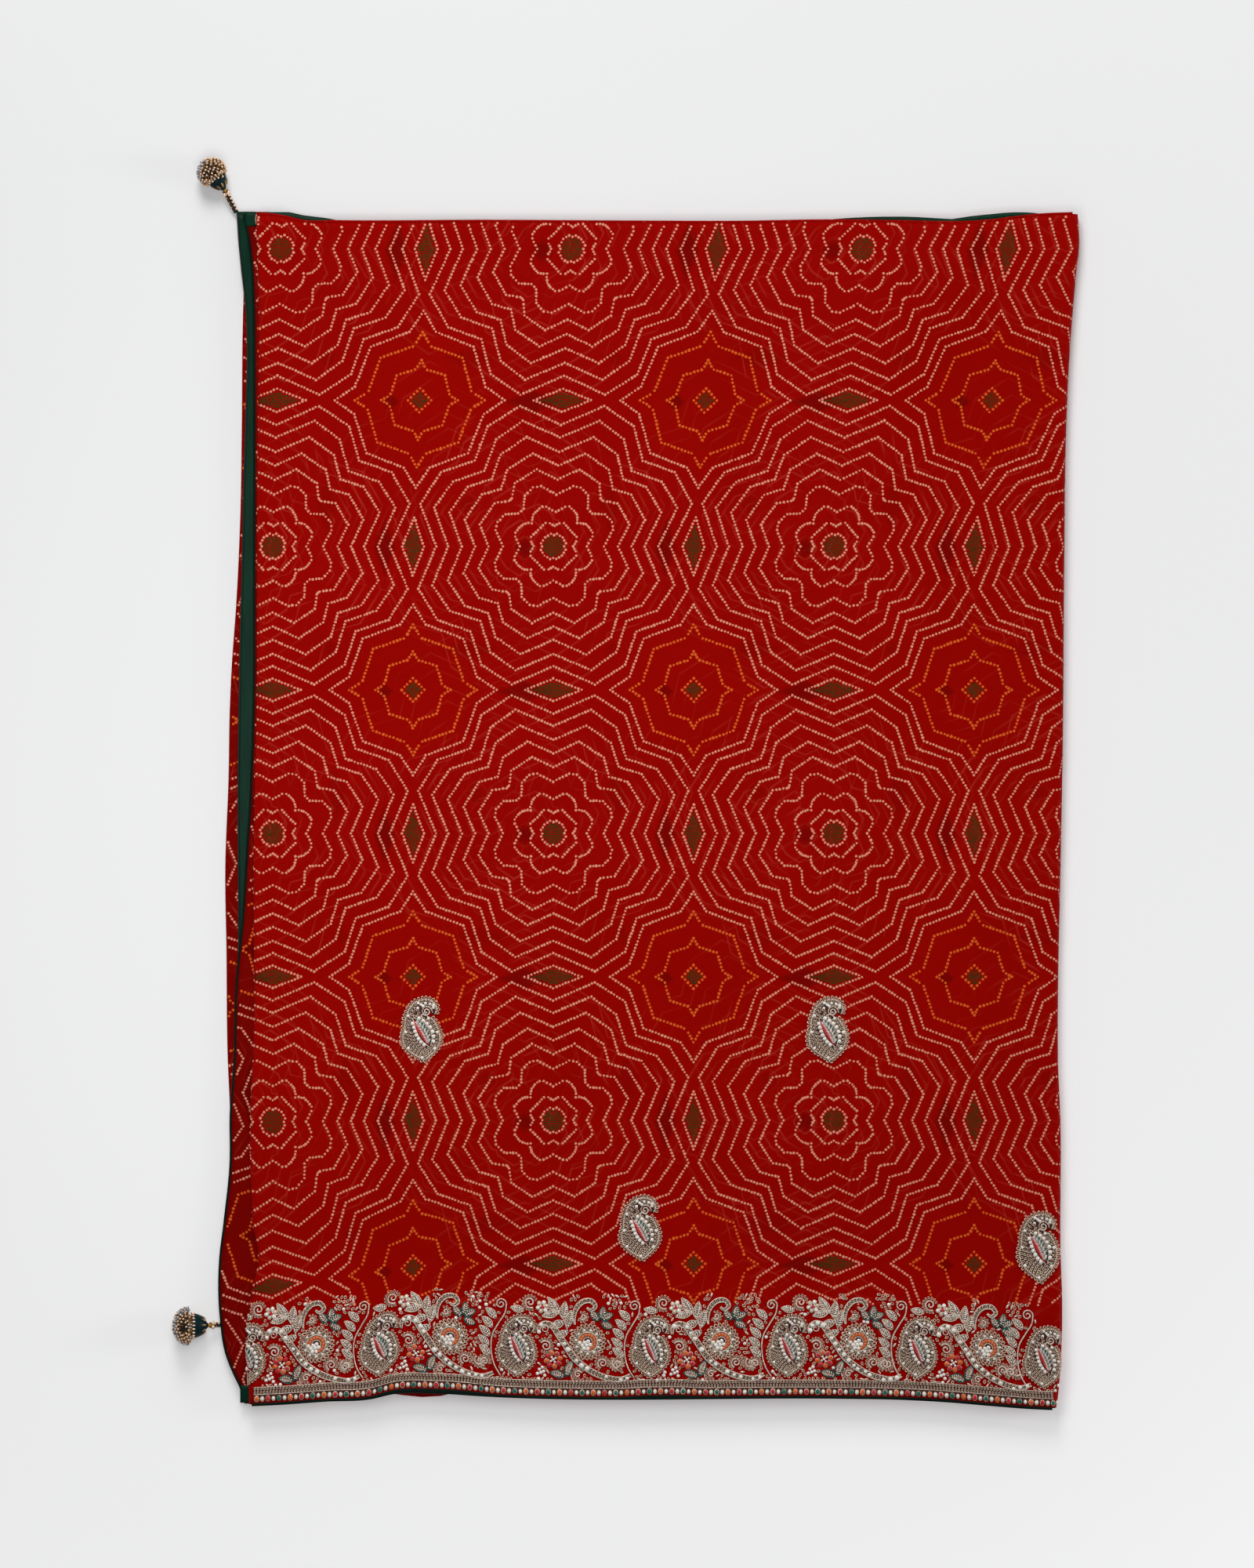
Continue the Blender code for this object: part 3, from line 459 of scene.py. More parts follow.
def georgette(name, light, deep):
    """Silk georgette, crepe woven and dyed red: matt, pebbly, and thin enough to show layers."""
    material, tree, shader = new_material(name, roughness=0.75, specular_ior_level=0.12,
                                          specular_tint=hex_colour("FF5038"))
    place = add_node(tree, "UVMap", {}, uv_map="print")
    pattern = add_node(tree, "SeparateXYZ", {0: place}).node.outputs
    x, y = (maths(tree, "MULTIPLY_ADD", pattern[i], 1000.0, -ROSETTE_AT[i]) for i in (0, 1))

    # The layer below lies a little to the left, and shows darker patches and paler lines
    line, patch = ghost_pattern(tree, maths(tree, "ADD", x, 27.0), maths(tree, "ADD", y, 1.5))
    deep_line, deep_patch = ghost_pattern(
        tree, maths(tree, "MULTIPLY_ADD", x, 0.998, maths(tree, "MULTIPLY_ADD", y, 0.035, 71.0)),
        maths(tree, "MULTIPLY_ADD", y, 0.999, -38.0))
    seen = ramp(tree, noise(tree, place, 26.0), 0.40, 0.62)
    pale = maths(tree, "MULTIPLY", maths(tree, "MULTIPLY_ADD", deep_line, 0.5, line), seen)
    dark = maths(tree, "MULTIPLY_ADD", deep_patch, 0.35, patch)

    # Dye takes a little unevenly over hundreds of millimetres, and crepe threads over one
    base = mixed(tree, noise(tree, place, 9.0, 3.0), deep, light)
    grain = mixed(tree, maths(tree, "MULTIPLY", noise(tree, place, 950.0, 1.0), 0.35), base,
                  "6C0200")
    lined = mixed(tree, maths(tree, "MULTIPLY", pale, 0.20), grain, "D04A3A")
    shaded = mixed(tree, maths(tree, "MULTIPLY", dark, 0.55, clamp=True), lined, "5E0402")

    # Crepe yarn about 0.35 mm apart, drawn at about 1 mm so that it shows
    fine = bumped(tree, noise(tree, place, 620.0), 0.30, 0.0006)
    soft = bumped(tree, noise(tree, place, 45.0), 0.35, 0.003, fine)
    set_inputs(tree, shader, {"Base Color": shaded, "Normal": soft})
    return material


def dyed_dots(name, rim, middle):
    """Resist-dyed dots: undyed silk in the middle, with the dye crept in at the rim."""
    material, tree, shader = new_material(name, roughness=0.75, specular_ior_level=0.1)
    depth = add_node(tree, "Attribute", {}, "Fac", attribute_name="undyed")
    set_inputs(tree, shader, {"Base Color": mixed(tree, depth, rim, middle)})
    return material


def satin(name, deep, light, roughness):
    """Satin weave: smooth, its colour streaked from deep to light along its warp as painted sheen.
    """
    material, tree, shader = new_material(name, roughness=roughness, specular_ior_level=0.1)
    place = add_node(tree, "TexCoord", {}, "Object")
    along = add_node(tree, "Mapping", {"Vector": place, "Scale": (1.0, 0.12, 1.0)})
    # Painted sheen: long streaks from the deep colour to the light one along the warp
    set_inputs(tree, shader, {
        "Base Color": mixed(tree, noise(tree, along, 160.0, 3.0), deep, light),
        "Normal": bumped(tree, noise(tree, place, 900.0), 0.15, 0.0004)})
    return material


def speckled(name, colour, roughness, metallic=0.0, dark=0.86, grain=700.0, strength=0.12):
    """Floss, glass, lacquer or wire: its colour and its surface vary from spot to spot."""
    material, tree, shader = new_material(name, roughness=roughness, metallic=metallic)
    spots = noise(tree, add_node(tree, "TexCoord", {}, "Object"), grain)
    hollow = [dark * c for c in hex_colour(colour)[:3]] + [1.0]
    set_inputs(tree, shader, {
        "Base Color": mixed(tree, ramp(tree, spots, 0.35, 0.62), hollow, colour),
        "Normal": bumped(tree, spots, strength, 0.0003)})
    return material


def wire_metal(name, colour, roughness, metallic, grain=1400.0, strength=0.25):
    """Metal thread and wire: the hollows of its bump are painted much darker, as tarnish and as
    shade, and its coils catch the light.
    """
    # Painted shade with tarnish: the low spots fall to 0.42 of the colour
    return speckled(name, colour, roughness, metallic, 0.42, grain, strength)


def make_piece(name, points, faces, materials, face_slots=None):
    """A piece from an array of corners in millimetres and one of faces, a row for each."""
    mesh = bpy.data.meshes.new(name)
    mesh.vertices.add(len(points))
    mesh.vertices.foreach_set("co", (np.asarray(points) * MM).astype(np.float32).ravel())
    mesh.loops.add(faces.size)
    mesh.loops.foreach_set("vertex_index", faces.astype(np.int32).ravel())
    mesh.polygons.add(len(faces))
    mesh.polygons.foreach_set("loop_start", np.arange(0, faces.size, faces.shape[1]))
    for material in materials:
        mesh.materials.append(material)
    if face_slots is not None:
        mesh.polygons.foreach_set("material_index", face_slots.astype(np.int32))
    mesh.polygons.foreach_set("use_smooth", np.full(len(faces), True))
    mesh.update(calc_edges=True)
    mesh.validate()
    piece = bpy.data.objects.new(name, mesh)
    bpy.context.scene.collection.objects.link(piece)
    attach(piece, "root")
    return piece


def stand_for(piece, slot, *nodes):
    """Put a piece in the place of solids, by hiding them."""
    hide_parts(*nodes)


def grid_faces(rows, columns, first):
    """Quads of a grid of rows by columns, wound to face up where columns run right."""
    low = (np.arange(rows - 1)[:, None] * columns + np.arange(columns - 1)[None, :]).ravel()
    return np.stack((low, low + 1, low + columns + 1, low + columns), 1) + first


def lay_print(piece, places, faces):
    """Give every corner of a piece its place in the dyed pattern, in metres."""
    layer = piece.data.uv_layers.new(name="print")
    layer.data.foreach_set("uv", (places[faces.ravel()] * MM).ravel())


def cloth_sheet(name, node, grids, stuff=None, prints=None,
                slot="georgette", thickness=CLOTH):
    """A thin wall of cloth about one or more grids of points, in the place of a solid.

    A grid's print is the pattern's own place under each of its points.
    """
    prints = prints or [grid[..., :2] for grid in grids]
    sizes = [grid.shape[0] * grid.shape[1] for grid in grids]
    faces = np.concatenate([grid_faces(*grid.shape[:2], first)
                            for grid, first in zip(grids, np.cumsum([0] + sizes))])
    points = np.concatenate([grid.reshape(-1, 3) for grid in grids])
    piece = make_piece(name, points, faces, [stuff or GEORGETTE])
    lay_print(piece, np.concatenate([place.reshape(-1, 2) for place in prints]), faces)
    wall = piece.modifiers.new("cloth", "SOLIDIFY")
    wall.thickness = thickness * MM
    wall.offset = 0.0
    wall.use_even_offset = True
    stand_for(piece, slot, node)


def row_shares(step=CELL):
    """Even shares of the cloth's width, about a cell apart, as a column."""
    return np.linspace(0.0, 1.0, int(CLOTH_WIDTH / step) + 1)[:, None]


def top_grid():
    """The top stretch from its lip, over both folds, to where it ends under the heap."""
    share = row_shares()
    y = between(NEAR_LINE, FAR_LINE, share)
    left, right = top_crests(y)
    right_rise = (level_height(LEVEL_TOP, right, y) - WALL / 2) / 2
    right_turn = half_turn(RIGHT_FOLD_DEPTH, right_rise)
    left_rise = (level_height(LEVEL_TOP, left, y) - level_height(LEVEL_LIP, left, y)) / 2
    left_turn = half_turn(LEFT_FOLD_DEPTH, left_rise)
    arc = np.linspace(0.0, 1.0, 13)
    s = np.concatenate((
        left - left_turn - (HEAP_LEFT - left),
        left - left_turn * arc[:0:-1],
        between(left, right, np.linspace(0, 1, int(760 / CELL) + 1)),
        right + right_turn * arc[1:],
        right + right_turn + (right - UNDER_RIGHT)), 1)
    for _ in range(2):
        x, z = top_place(s, y)
        near, far = cloth_edges(x)
        y = between(near, far, share)
    x, z = top_place(s, y)
    return grid_of(x, y, z), np.stack(unwarp(s, y), 2)


def closed_ring(eighth):
    """All eight mirrored copies of an eighth of a ring, in order round its middle."""
    quarter = np.array(eighth + tuple((b, a) for a, b in eighth[::-1]))
    half = np.concatenate((quarter, quarter[::-1] * (-1, 1)))
    whole = np.concatenate((half, half[::-1] * (1, -1)))
    keep = np.linalg.norm(np.roll(whole, -1, axis=0) - whole, axis=1) > 0.3
    return whole[keep]


def dots_along(ring, step):
    """Dots about a step apart on each straight side of a ring, with one at every corner."""
    found = []
    for start, end in zip(ring, np.roll(ring, -1, axis=0)):
        count = max(1, round(np.linalg.norm(end - start) / step))
        found.append(between(start, end, np.arange(count)[:, None] / count))
    return np.concatenate(found)


def fill_lozenge(half_x, half_y):
    """Dots close together in rows over a lozenge."""
    y = np.arange(-half_y, half_y + 0.01, FILL_STEP * 0.87)[:, None]
    x = np.arange(-40.0, 40.0, FILL_STEP) + (np.arange(len(y)) % 2)[:, None] * FILL_STEP / 2
    dots = grid_of(x, y, 0.0).reshape(-1, 3)[:, :2]
    return dots[(np.abs(dots) / (half_x, half_y)).sum(1) < 1.0]


def fill_disc(radius):
    """Dots close together in rings over a disc."""
    rings = np.arange(FILL_STEP, radius, FILL_STEP * 0.92)
    return np.concatenate([np.zeros((1, 2))] + [
        ring * ray(clock(round(2 * math.pi * ring / FILL_STEP))) for ring in rings])


def cell_dots():
    """Every dot of one cell by colour, from its rosette's middle."""
    half = np.array((CELL_X, CELL_X)) / 2
    long, short = LOZENGE
    tall = np.array(((short, 0.0), (0.0, long), (-short, 0.0), (0.0, -long)))
    found = {"cream": [dots_along(closed_ring(ring), DOT_STEP["cream"]) for ring in RINGS],
             "orange": [], "olive": [fill_disc(ROSETTE_DISC)]}
    for colour, ring in STAR_RINGS:
        found[colour].append(dots_along(closed_ring(ring), DOT_STEP[colour]) + half)
    for middle, corners, size in (((half[0], 0.0), tall, (short - 2.4, long - 6.0)),
                                  ((0.0, half[1]), tall[:, ::-1], (long - 6.0, short - 2.4))):
        found["cream"].append(dots_along(corners, DOT_STEP["cream"]) + middle)
        found["olive"].append(fill_lozenge(*size) + middle)
    found["olive"].append(fill_lozenge(STAR_LOZENGE, STAR_LOZENGE) + half)
    stretch = (1.0, CELL_Y / CELL_X)
    return {colour: np.concatenate(dots) * stretch for colour, dots in found.items()}


def tile_dots(dots, origin, low, high):
    """Copies of a cell's dots over a rectangle."""
    first = np.floor((np.array(low) - origin) / (CELL_X, CELL_Y)).astype(int) - 1
    last = np.ceil((np.array(high) - origin) / (CELL_X, CELL_Y)).astype(int) + 1
    i, j = np.meshgrid(np.arange(first[0], last[0] + 1), np.arange(first[1], last[1] + 1))
    corner = np.stack((i.ravel() * CELL_X, j.ravel() * CELL_Y), 1) + origin
    spread = (corner[:, None, :] + dots[None, :, :]).reshape(-1, 2)
    inside = (spread > np.array(low) - 30.0).all(1) & (spread < np.array(high) + 30.0).all(1)
    return spread[inside]


def dot_mesh(name, layers):
    """Low six-sided domes.  A layer holds a colour's middles, edge vectors and radii.

    Each dome's rim lies on the cloth and its middle a little above it, along its normal.
    """
    points, faces, slots, undyed, first = [], [], [], [], 0
    side = np.arange(6)
    fan = np.stack((np.zeros(6, int), 1 + side, 1 + (side + 1) % 6), 1)
    for slot, (middle, across, along, radius) in enumerate(layers):
        count = len(middle)
        angle = (RANDOM.random(count)[:, None] + side[None, :] / 6.0) * 2 * math.pi
        reach = radius[:, None] * (1.0 + RANDOM.normal(0.0, 0.06, (count, 6)))
        out = (reach[..., None] * ray(angle))[..., None]
        rim = middle[:, None] + out[:, :, 0] * across[:, None] + out[:, :, 1] * along[:, None]
        crown = middle + np.cross(across, along) * DOT_RISE
        points.append(np.concatenate((crown[:, None], rim), 1).reshape(-1, 3))
        faces.append((fan[None] + (np.arange(count) * 7)[:, None, None] + first).reshape(-1, 3))
        slots.append(np.full(count * 6, slot))
        middle_tone = 0.85 + 0.3 * RANDOM.random(count)
        rim_tone = 0.30 + 0.2 * RANDOM.random((count, 6))
        undyed.append(np.concatenate((middle_tone[:, None], rim_tone), 1).ravel())
        first += count * 7
    piece = make_piece(name, np.concatenate(points), np.concatenate(faces), DOT_STUFFS,
                       np.concatenate(slots))
    tone = piece.data.attributes.new("undyed", "FLOAT", "POINT")
    tone.data.foreach_set("value", np.concatenate(undyed).astype(np.float32))


def placed_dots(colour, flat, place, keep):
    """Dots of one colour on a surface: place gives points and keep says which lie on it."""
    s, y = flat.T + RANDOM.normal(0.0, 0.14, (2, len(flat)))
    inside = keep(s, y)
    s, y = s[inside], y[inside]
    step = 0.5
    middle = np.stack(place(s, y), 1)
    across = unit(np.stack(place(s + step, y), 1) - middle)
    along = np.stack(place(s, y + step), 1) - middle
    along = unit(along - across * (along * across).sum(1)[:, None])
    radius = DOT_RADIUS[colour] * (1.0 + RANDOM.normal(0.0, 0.08, len(s)))
    return middle, across, along, radius


def tied_dots(name, rosette, reach, place, keep, lie=lambda x, y: (x, y)):
    """The tied dots of a layer, whose pattern has a rosette at a place and lies askew."""
    layers = []
    for colour, dots in cell_dots().items():
        flat = tile_dots(dots, rosette, (reach[0], -600.0), (reach[1], 560.0))
        layers.append(placed_dots(colour, np.stack(lie(*flat.T), 1), place, keep))
    dot_mesh(name, layers)


def top_stretch():
    """The stretch that shows most, and its tied dots, which go round both folds too."""
    grid, prints = top_grid()
    cloth_sheet("top_stretch_cloth", "top_stretch", [grid],
                prints=[prints])

    def place(s, y):
        x, z = top_place(s, y, lift=CLOTH / 2 + DOT_LIFT)
        return x, y, z

    def keep(s, y):
        left, right = top_crests(y)
        x, _ = top_place(s, y)
        near, far = cloth_edges(x)
        near = np.maximum(near, HEM_DOT_END)
        return (s > left - 6.0) & (s < right + 24.0) & (y > near + 1.2) & (y < far - 1.2)

    tied_dots("top_stretch_dots", ROSETTE_AT, (-360.0, 450.0), place, keep, warp)


def side_grid(edge, level, inner, span, offset=0.0):
    """A single layer that steps out at the left, from its edge in to where the heap hides it."""
    y = between(*span, row_shares(8.0))
    x = between(eased(edge, y) + CLOTH / 2, inner(y), np.linspace(0.0, 1.0, 7))
    return grid_of(x, y, level_height(level, x, y) + offset)


def heap_side(y):
    """Where the pieces that step out at the left meet the inner layers."""
    return np.full_like(y, HEAP_LEFT)


def facing_side(y):
    """Inner edge of the satin facing, which narrows towards its near end."""
    width = FACING_WIDTH * smoothstep((y - FACING_TAPER_START) / FACING_TAPER)
    return eased(END_C_EDGE, y) + width


def print_from(grid, rosette):
    """The pattern's place under each point, for a layer whose own rosette lies elsewhere."""
    return grid[..., :2] + (np.array(ROSETTE_AT) - rosette)


def crescent(rows, level, x):
    """How far a hidden layer reaches past the heap's common edge, as a soft bow."""
    reach = np.zeros_like(x)
    for at_level, middle, half_width, amount in rows:
        if at_level == level:
            bow = np.clip(1.0 - ((x - middle) / half_width) ** 2, 0.0, 1.0)
            reach = np.maximum(reach, (amount + HIDDEN_TUCK) * bow)
    return reach


def inner_fold(crest, low, high, depth, y, side):
    """A fold between two levels, in from its crest: side is 1 at the right, -1 at the left."""
    angle = np.linspace(0.0, math.pi, 9)
    centre = crest - side * depth
    top, bottom = level_height(high, centre, y), level_height(low, centre, y)
    return (centre + side * depth * np.sin(angle),
            (top + bottom) / 2 + (top - bottom) / 2 * np.cos(angle))


def inner_run(level, start, end, y):
    """A flat run of a hidden layer."""
    x = between(start, end, np.linspace(0.0, 1.0, 42)[1:-1])
    return x, level_height(level, x, y), level


def inner_grid(runs, share):
    """One long sheet through runs and folds, each with its own near and far edges."""
    grids = []
    for x, z, level in runs:
        near, far = cloth_edges(x)
        near = near + HIDDEN_TUCK - crescent(NEAR_CRESCENTS, level, x)
        far = far - HIDDEN_TUCK + crescent(FAR_CRESCENTS, level, x)
        grids.append(grid_of(x, between(near, far, share), z))
    return np.concatenate(grids, 1)


def inner_layers():
    """Six hidden layers in two lengths of cloth, folded inside one another."""
    share = row_shares(24.0)
    y = between(NEAR_LINE, FAR_LINE, share)
    right = eased(TOP_RIGHT_EDGE, y)
    left = eased(TOP_LEFT_EDGE, y) + INNER_FOLD_SETBACK + CLOTH / 2
    side = heap_side(y)

    def turn(crest, low, high, depth, way=1.0, down=True):
        x, z = inner_fold(crest, low, high, depth, y, way)
        step = 1 if down else -1
        return x[:, ::step], z[:, ::step], None

    outer = (inner_run(1, side, right - 8.4, y), turn(right - 5.0, 1, 7, 3.2, 1.0, False),
             inner_run(7, right - 8.4, left + 1.2, y), turn(left, 6, 7, 0.8, -1.0),
             inner_run(6, left + 1.2, right - 8.8, y), turn(right - 6.4, 2, 6, 2.3),
             inner_run(2, right - 8.8, side, y))
    core = (inner_run(5, side, right - 8.8, y), turn(right - 7.6, 4, 5, 0.8),
            inner_run(4, right - 8.8, side, y))
    grids = [inner_grid(runs, share) for runs in (outer, core)]
    cloth_sheet("inner_layers", "hidden_layers", grids)


def left_fold_grid():
    """The lowest two layers, turned round each other at the left."""
    y = between(*LEFT_FOLD_SPAN, row_shares(8.0))
    centre = eased(LEFT_FOLD_EDGE, y) + WALL / 2 + STRIP_FOLD_DEPTH
    upper, lower = level_height(LEVEL_FOLD, centre, y), WALL / 2
    angle = np.linspace(-math.pi, 0.0, 11)
    arc_z = (upper + lower) / 2 + ((upper - lower) / 2 + OUT) * np.cos(angle)
    inner = between(centre, HEAP_LEFT, np.linspace(0.2, 1.0, 5))
    level = level_height(LEVEL_FOLD, inner, y) + OUT
    x = np.concatenate((inner[:, ::-1], centre + (STRIP_FOLD_DEPTH + OUT) * np.sin(angle), inner),
                       1)
    return grid_of(x, y, np.concatenate((np.full_like(inner, lower - OUT), arc_z, level), 1))


def left_layers():
    """What steps out at the left: the lower fold, then one free end, its facing, and the other."""
    for node, grid, rosette, flat, held, below in (
            ("left_fold", left_fold_grid(), LEFT_ROSETTE, (0.085, 1.116), "folded", "floor"),
            ("free_end_c", side_grid(END_C_EDGE, LEVEL_END_C, heap_side, END_C_SPAN, OUT),
             LEFT_ROSETTE, (0.035, 1.122), "laid", "left_fold_cloth"),
            ("free_end_b", side_grid(END_B_EDGE, LEVEL_END_B, heap_side, END_B_SPAN, OUT),
             END_B_ROSETTE, (0.03, 1.122), "laid", "facing")):
        # The strips take the darker red that is painted shade
        cloth_sheet(f"{node}_cloth", node, [grid], SHADED_GEORGETTE,
                    [print_from(grid, rosette)])
    for name, rosette, edge, beyond, high, span in (
            ("free_end_b_dots", END_B_ROSETTE, END_B_EDGE, TOP_LEFT_EDGE, LEVEL_END_B,
             END_B_SPAN),
            ("left_fold_dots", LEFT_ROSETTE, LEFT_FOLD_EDGE, END_C_EDGE, LEVEL_FOLD,
             LEFT_FOLD_SPAN)):
        def place(x, y, high=high):
            return x, y, level_height(high, x, y) + OUT + CLOTH / 2 + DOT_LIFT

        def keep(x, y, edge=edge, beyond=beyond, span=span):
            return ((x > eased(edge, y) + 1.6) & (x < eased(beyond, y) + 1.0)
                    & (y > span[0] + 2.0) & (y < span[1] - 2.0))

        tied_dots(name, rosette, (-400.0, -330.0), place, keep)


def facing():
    """Green satin sewn inside the free end: a long band, and one along the far edge."""
    grids = [side_grid(END_C_EDGE, LEVEL_FACING, facing_side, END_C_SPAN)]
    share = np.linspace(0.0, 1.0, 6)
    for level, at_level, start, end, depth in ((2, LEVEL_FACING, -350.0, -258.0, 18.0),
                                               (6, 6.5, 160.0, 408.0, 14.0)):
        x = np.linspace(start, end, 40)[:, None]
        far = cloth_edges(x)[1] - HIDDEN_TUCK + crescent(FAR_CRESCENTS, level, x)
        edge = np.minimum(far + 0.5, END_C_SPAN[1] - 0.4)
        y = between(edge - depth, edge, share)
        grids.append(grid_of(x, y, level_height(at_level, x, y)).transpose(1, 0, 2))
    for y0, y1, corner in ((526.0, 538.4, -360.6), (-583.0, -566.5, -364.6)):
        x, y = np.linspace(corner, corner + 10.8, 5), between(y0, y1, share)[:, None]
        grids.append(grid_of(x, y, level_height(LEVEL_END_B, x, y) + 0.9))
    cloth_sheet("facing", "free_end_c_facing", grids,
                SATIN, slot="green_satin", thickness=0.6)


def cord_path(level, x, y, rise=0.0):
    """Points of a cord that lies on a level of the heap."""
    return np.stack((x, y, level_height(level, x, y) + rise), 1)


def facing_trims():
    """The facing's two sewn edges as dark cords, which also stand for the shade along them, and
    pale piping by the free end's far corner.
    """
    y = np.linspace(538.5, -560.0, 200)
    start, end = 537.0, 527.5
    short = np.linspace(start, end, 12)
    bowed = -349.4 - 0.8 * np.sin((short - end) / (start - end) * math.pi)
    parts = [(*sweep(cord_path(level, x, at, rise), radius, 6), stuff)
             for x, at, level, rise, radius, stuff in (
                 (eased(END_C_EDGE, y) + 1.3, y, LEVEL_FACING, 0.35, 0.75, 0),
                 (facing_side(y) - 0.9, y, LEVEL_FACING, 0.35, 0.75, 0),
                 (bowed, short, LEVEL_END_B, 1.3, 0.55, 1))]
    points, faces, slots = joined(parts)
    # Near black: the turned edges, and painted shade along the facing's sides
    seam = speckled("turned_satin_edge_painted_shade", "03140D", roughness=0.7)
    pale = speckled("pale_piping", "D8A890", roughness=0.6)
    make_piece("facing_trims", points, faces, [seam, pale], slots)


def underside():
    """The lowest layer, flat on the floor between its two folds."""
    x = np.linspace(HEAP_LEFT + GAP, UNDER_RIGHT - GAP, 20)
    near, far = cloth_edges(x)
    y = between(near + HIDDEN_TUCK, far - HIDDEN_TUCK, row_shares(40.0))
    cloth_sheet("underside_cloth", "underside", [grid_of(x, y, CLOTH / 2)])


def two_triangles(quads):
    """Each four-cornered face as two three-cornered ones."""
    return np.concatenate((quads[:, (0, 1, 2)], quads[:, (0, 2, 3)]))


def ring_quads(rows, around):
    """Quads between rings of corners, each ring joined to the next."""
    i, j = np.meshgrid(np.arange(rows - 1), np.arange(around), indexing="ij")
    low, right = i * around + j, i * around + (j + 1) % around
    return np.stack((low, right, right + around, low + around), -1).reshape(-1, 4)


def tube(rings, tips):
    """A skin over rings of corners, rows by around by 3, closed to a tip at each end."""
    rows, around = rings.shape[:2]
    j = np.arange(around)
    step, last, top = (j + 1) % around, rows * around, (rows - 1) * around
    start = np.stack((np.full(around, last), j, step), 1)
    end = np.stack((np.full(around, last + 1), top + step, top + j), 1)
    walls = two_triangles(ring_quads(rows, around))[:, ::-1]
    return np.concatenate((rings.reshape(-1, 3), tips)), np.concatenate((walls, start, end))


def sweep(path, radius, sides=8):
    """A round cord along points (x, y, z): a ring of corners about each, and a tip at each end.

    The ring at p is p + r (side cos a + up sin a), where side is level and square to the path.
    """
    path = np.asarray(path, float)
    heading = np.gradient(path, axis=0)
    side = unit(np.stack((-heading[:, 1], heading[:, 0], np.zeros(len(path))), 1))
    up = unit(np.cross(heading, side))
    cos, sin = ray(clock(sides)).T[..., None]
    radius = np.broadcast_to(radius, len(path))[:, None, None]
    rings = path[:, None] + radius * (side[:, None] * cos + up[:, None] * sin)
    return tube(rings, path[[0, -1]])


def lens(x):
    """Extra depth of the green piping where it shows wider under the stones."""
    return (1.5 + 2.0 * np.exp(-((x + 180.0) / 48.0) ** 4)
            + 1.6 * np.exp(-((x - 34.0) / 30.0) ** 4))


def hem_cords():
    """Piping along the near hem and one free end, and the far edge's rolled hem."""
    for name, node, edge, line, side, stuff, slot in (
            ("near_piping", "hem_cord_near", TOP_NEAR_EDGE, NEAR_LINE, 1, PIPING, "green_satin"),
            ("far_roll", "hem_cord_far", TOP_FAR_EDGE, FAR_LINE, -1, GEORGETTE, "georgette")):
        x = np.linspace(*(float(crest) for crest in top_crests(line)), 300)
        wide = HEM_CORD + (lens(x) if side > 0 else HEM_TUCK)
        path = cord_path(LEVEL_TOP, x, eased(edge, x) + side * wide / 2)
        points, faces = sweep(path, wide / 2, 10)
        middle = np.append(np.repeat(path[:, 2], 10), path[[0, -1], 2])
        points[:, 2] = middle + np.clip(points[:, 2] - middle, -HEM_CORD / 2, HEM_CORD / 2)
        piece = make_piece(name, points, faces, [stuff])
        if side < 0:
            lay_print(piece, points[:, :2], faces)
        stand_for(piece, slot, node)
    y = between(*END_B_CORD_SPAN, row_shares(4.0)[:, 0])
    x = eased(END_B_EDGE, y) - GAP - HEM_CORD / 2 + HEM_TUCK / 2
    points, faces = sweep(cord_path(LEVEL_END_B, x, y), (HEM_CORD + HEM_TUCK) / 2)
    stand_for(make_piece("free_end_piping", points, faces, [PIPING]), "green_satin", "end_b_cord")


def ring_shape(around=8, sides=3, wire=0.30):
    """A flat loop of wire: x = cos a (1 - w + w cos b), y likewise, z = w sin b."""
    a, b = np.meshgrid(clock(around), clock(sides, 0.5), indexing="ij")
    reach = 1.0 - wire + wire * np.cos(b)
    points = np.dstack((ray(a) * reach[..., None], wire * np.sin(b)))
    quads = ring_quads(around + 1, sides) % (around * sides)
    return points.reshape(-1, 3), two_triangles(quads)[:, ::-1]


def dome_shape(sides=8, steps=((1.0, 0.0), (0.74, 0.68))):
    """A low dome through rings of (reach, height), closed by a point at height 1."""
    rings = [np.column_stack((r * ray(clock(sides)), np.full(sides, z))) for r, z in steps]
    rim = np.arange(sides) + (len(steps) - 1) * sides
    cap = np.stack((rim, np.roll(rim, -1), np.full(sides, len(steps) * sides)), 1)
    return (np.concatenate((*rings, [(0.0, 0.0, 1.0)])),
            np.concatenate((two_triangles(ring_quads(len(steps), sides)), cap)))


def grain_shape():
    """One stitch: a long low grain, pointed at both ends."""
    points = np.array(((-1, 0, 0), (-.45, -1, 0), (.45, -1, 0), (1, 0, 0), (.45, 1, 0),
                       (-.45, 1, 0), (-.5, 0, 1), (.5, 0, 1)), float)
    faces = np.array(((0, 1, 6), (1, 2, 7), (1, 7, 6), (2, 3, 7), (3, 4, 7), (4, 5, 6),
                      (4, 6, 7), (5, 0, 6)))
    return points, faces


def bead_shape(around=8, rows=5):
    """A round bead: rings at even angles from pole to pole, with a point at each pole."""
    polar = np.arange(1, rows) / rows * math.pi
    rings = np.concatenate((np.sin(polar)[:, None, None] * ray(clock(around)),
                            np.repeat(np.cos(polar), around).reshape(-1, around, 1)), 2)
    return tube(rings, [(0, 0, 1), (0, 0, -1)])


def turned(profile, around=28):
    """A turned shell about x through rows of (along, radius), pointed at both ends."""
    along, radius = profile[1:-1].T
    rings = np.concatenate((np.repeat(along, around).reshape(-1, around, 1),
                            radius[:, None, None] * ray(clock(around))), 2)
    points, faces = tube(rings, [(x, 0, 0) for x in profile[[0, -1], 0]])
    return points, faces[:, ::-1]


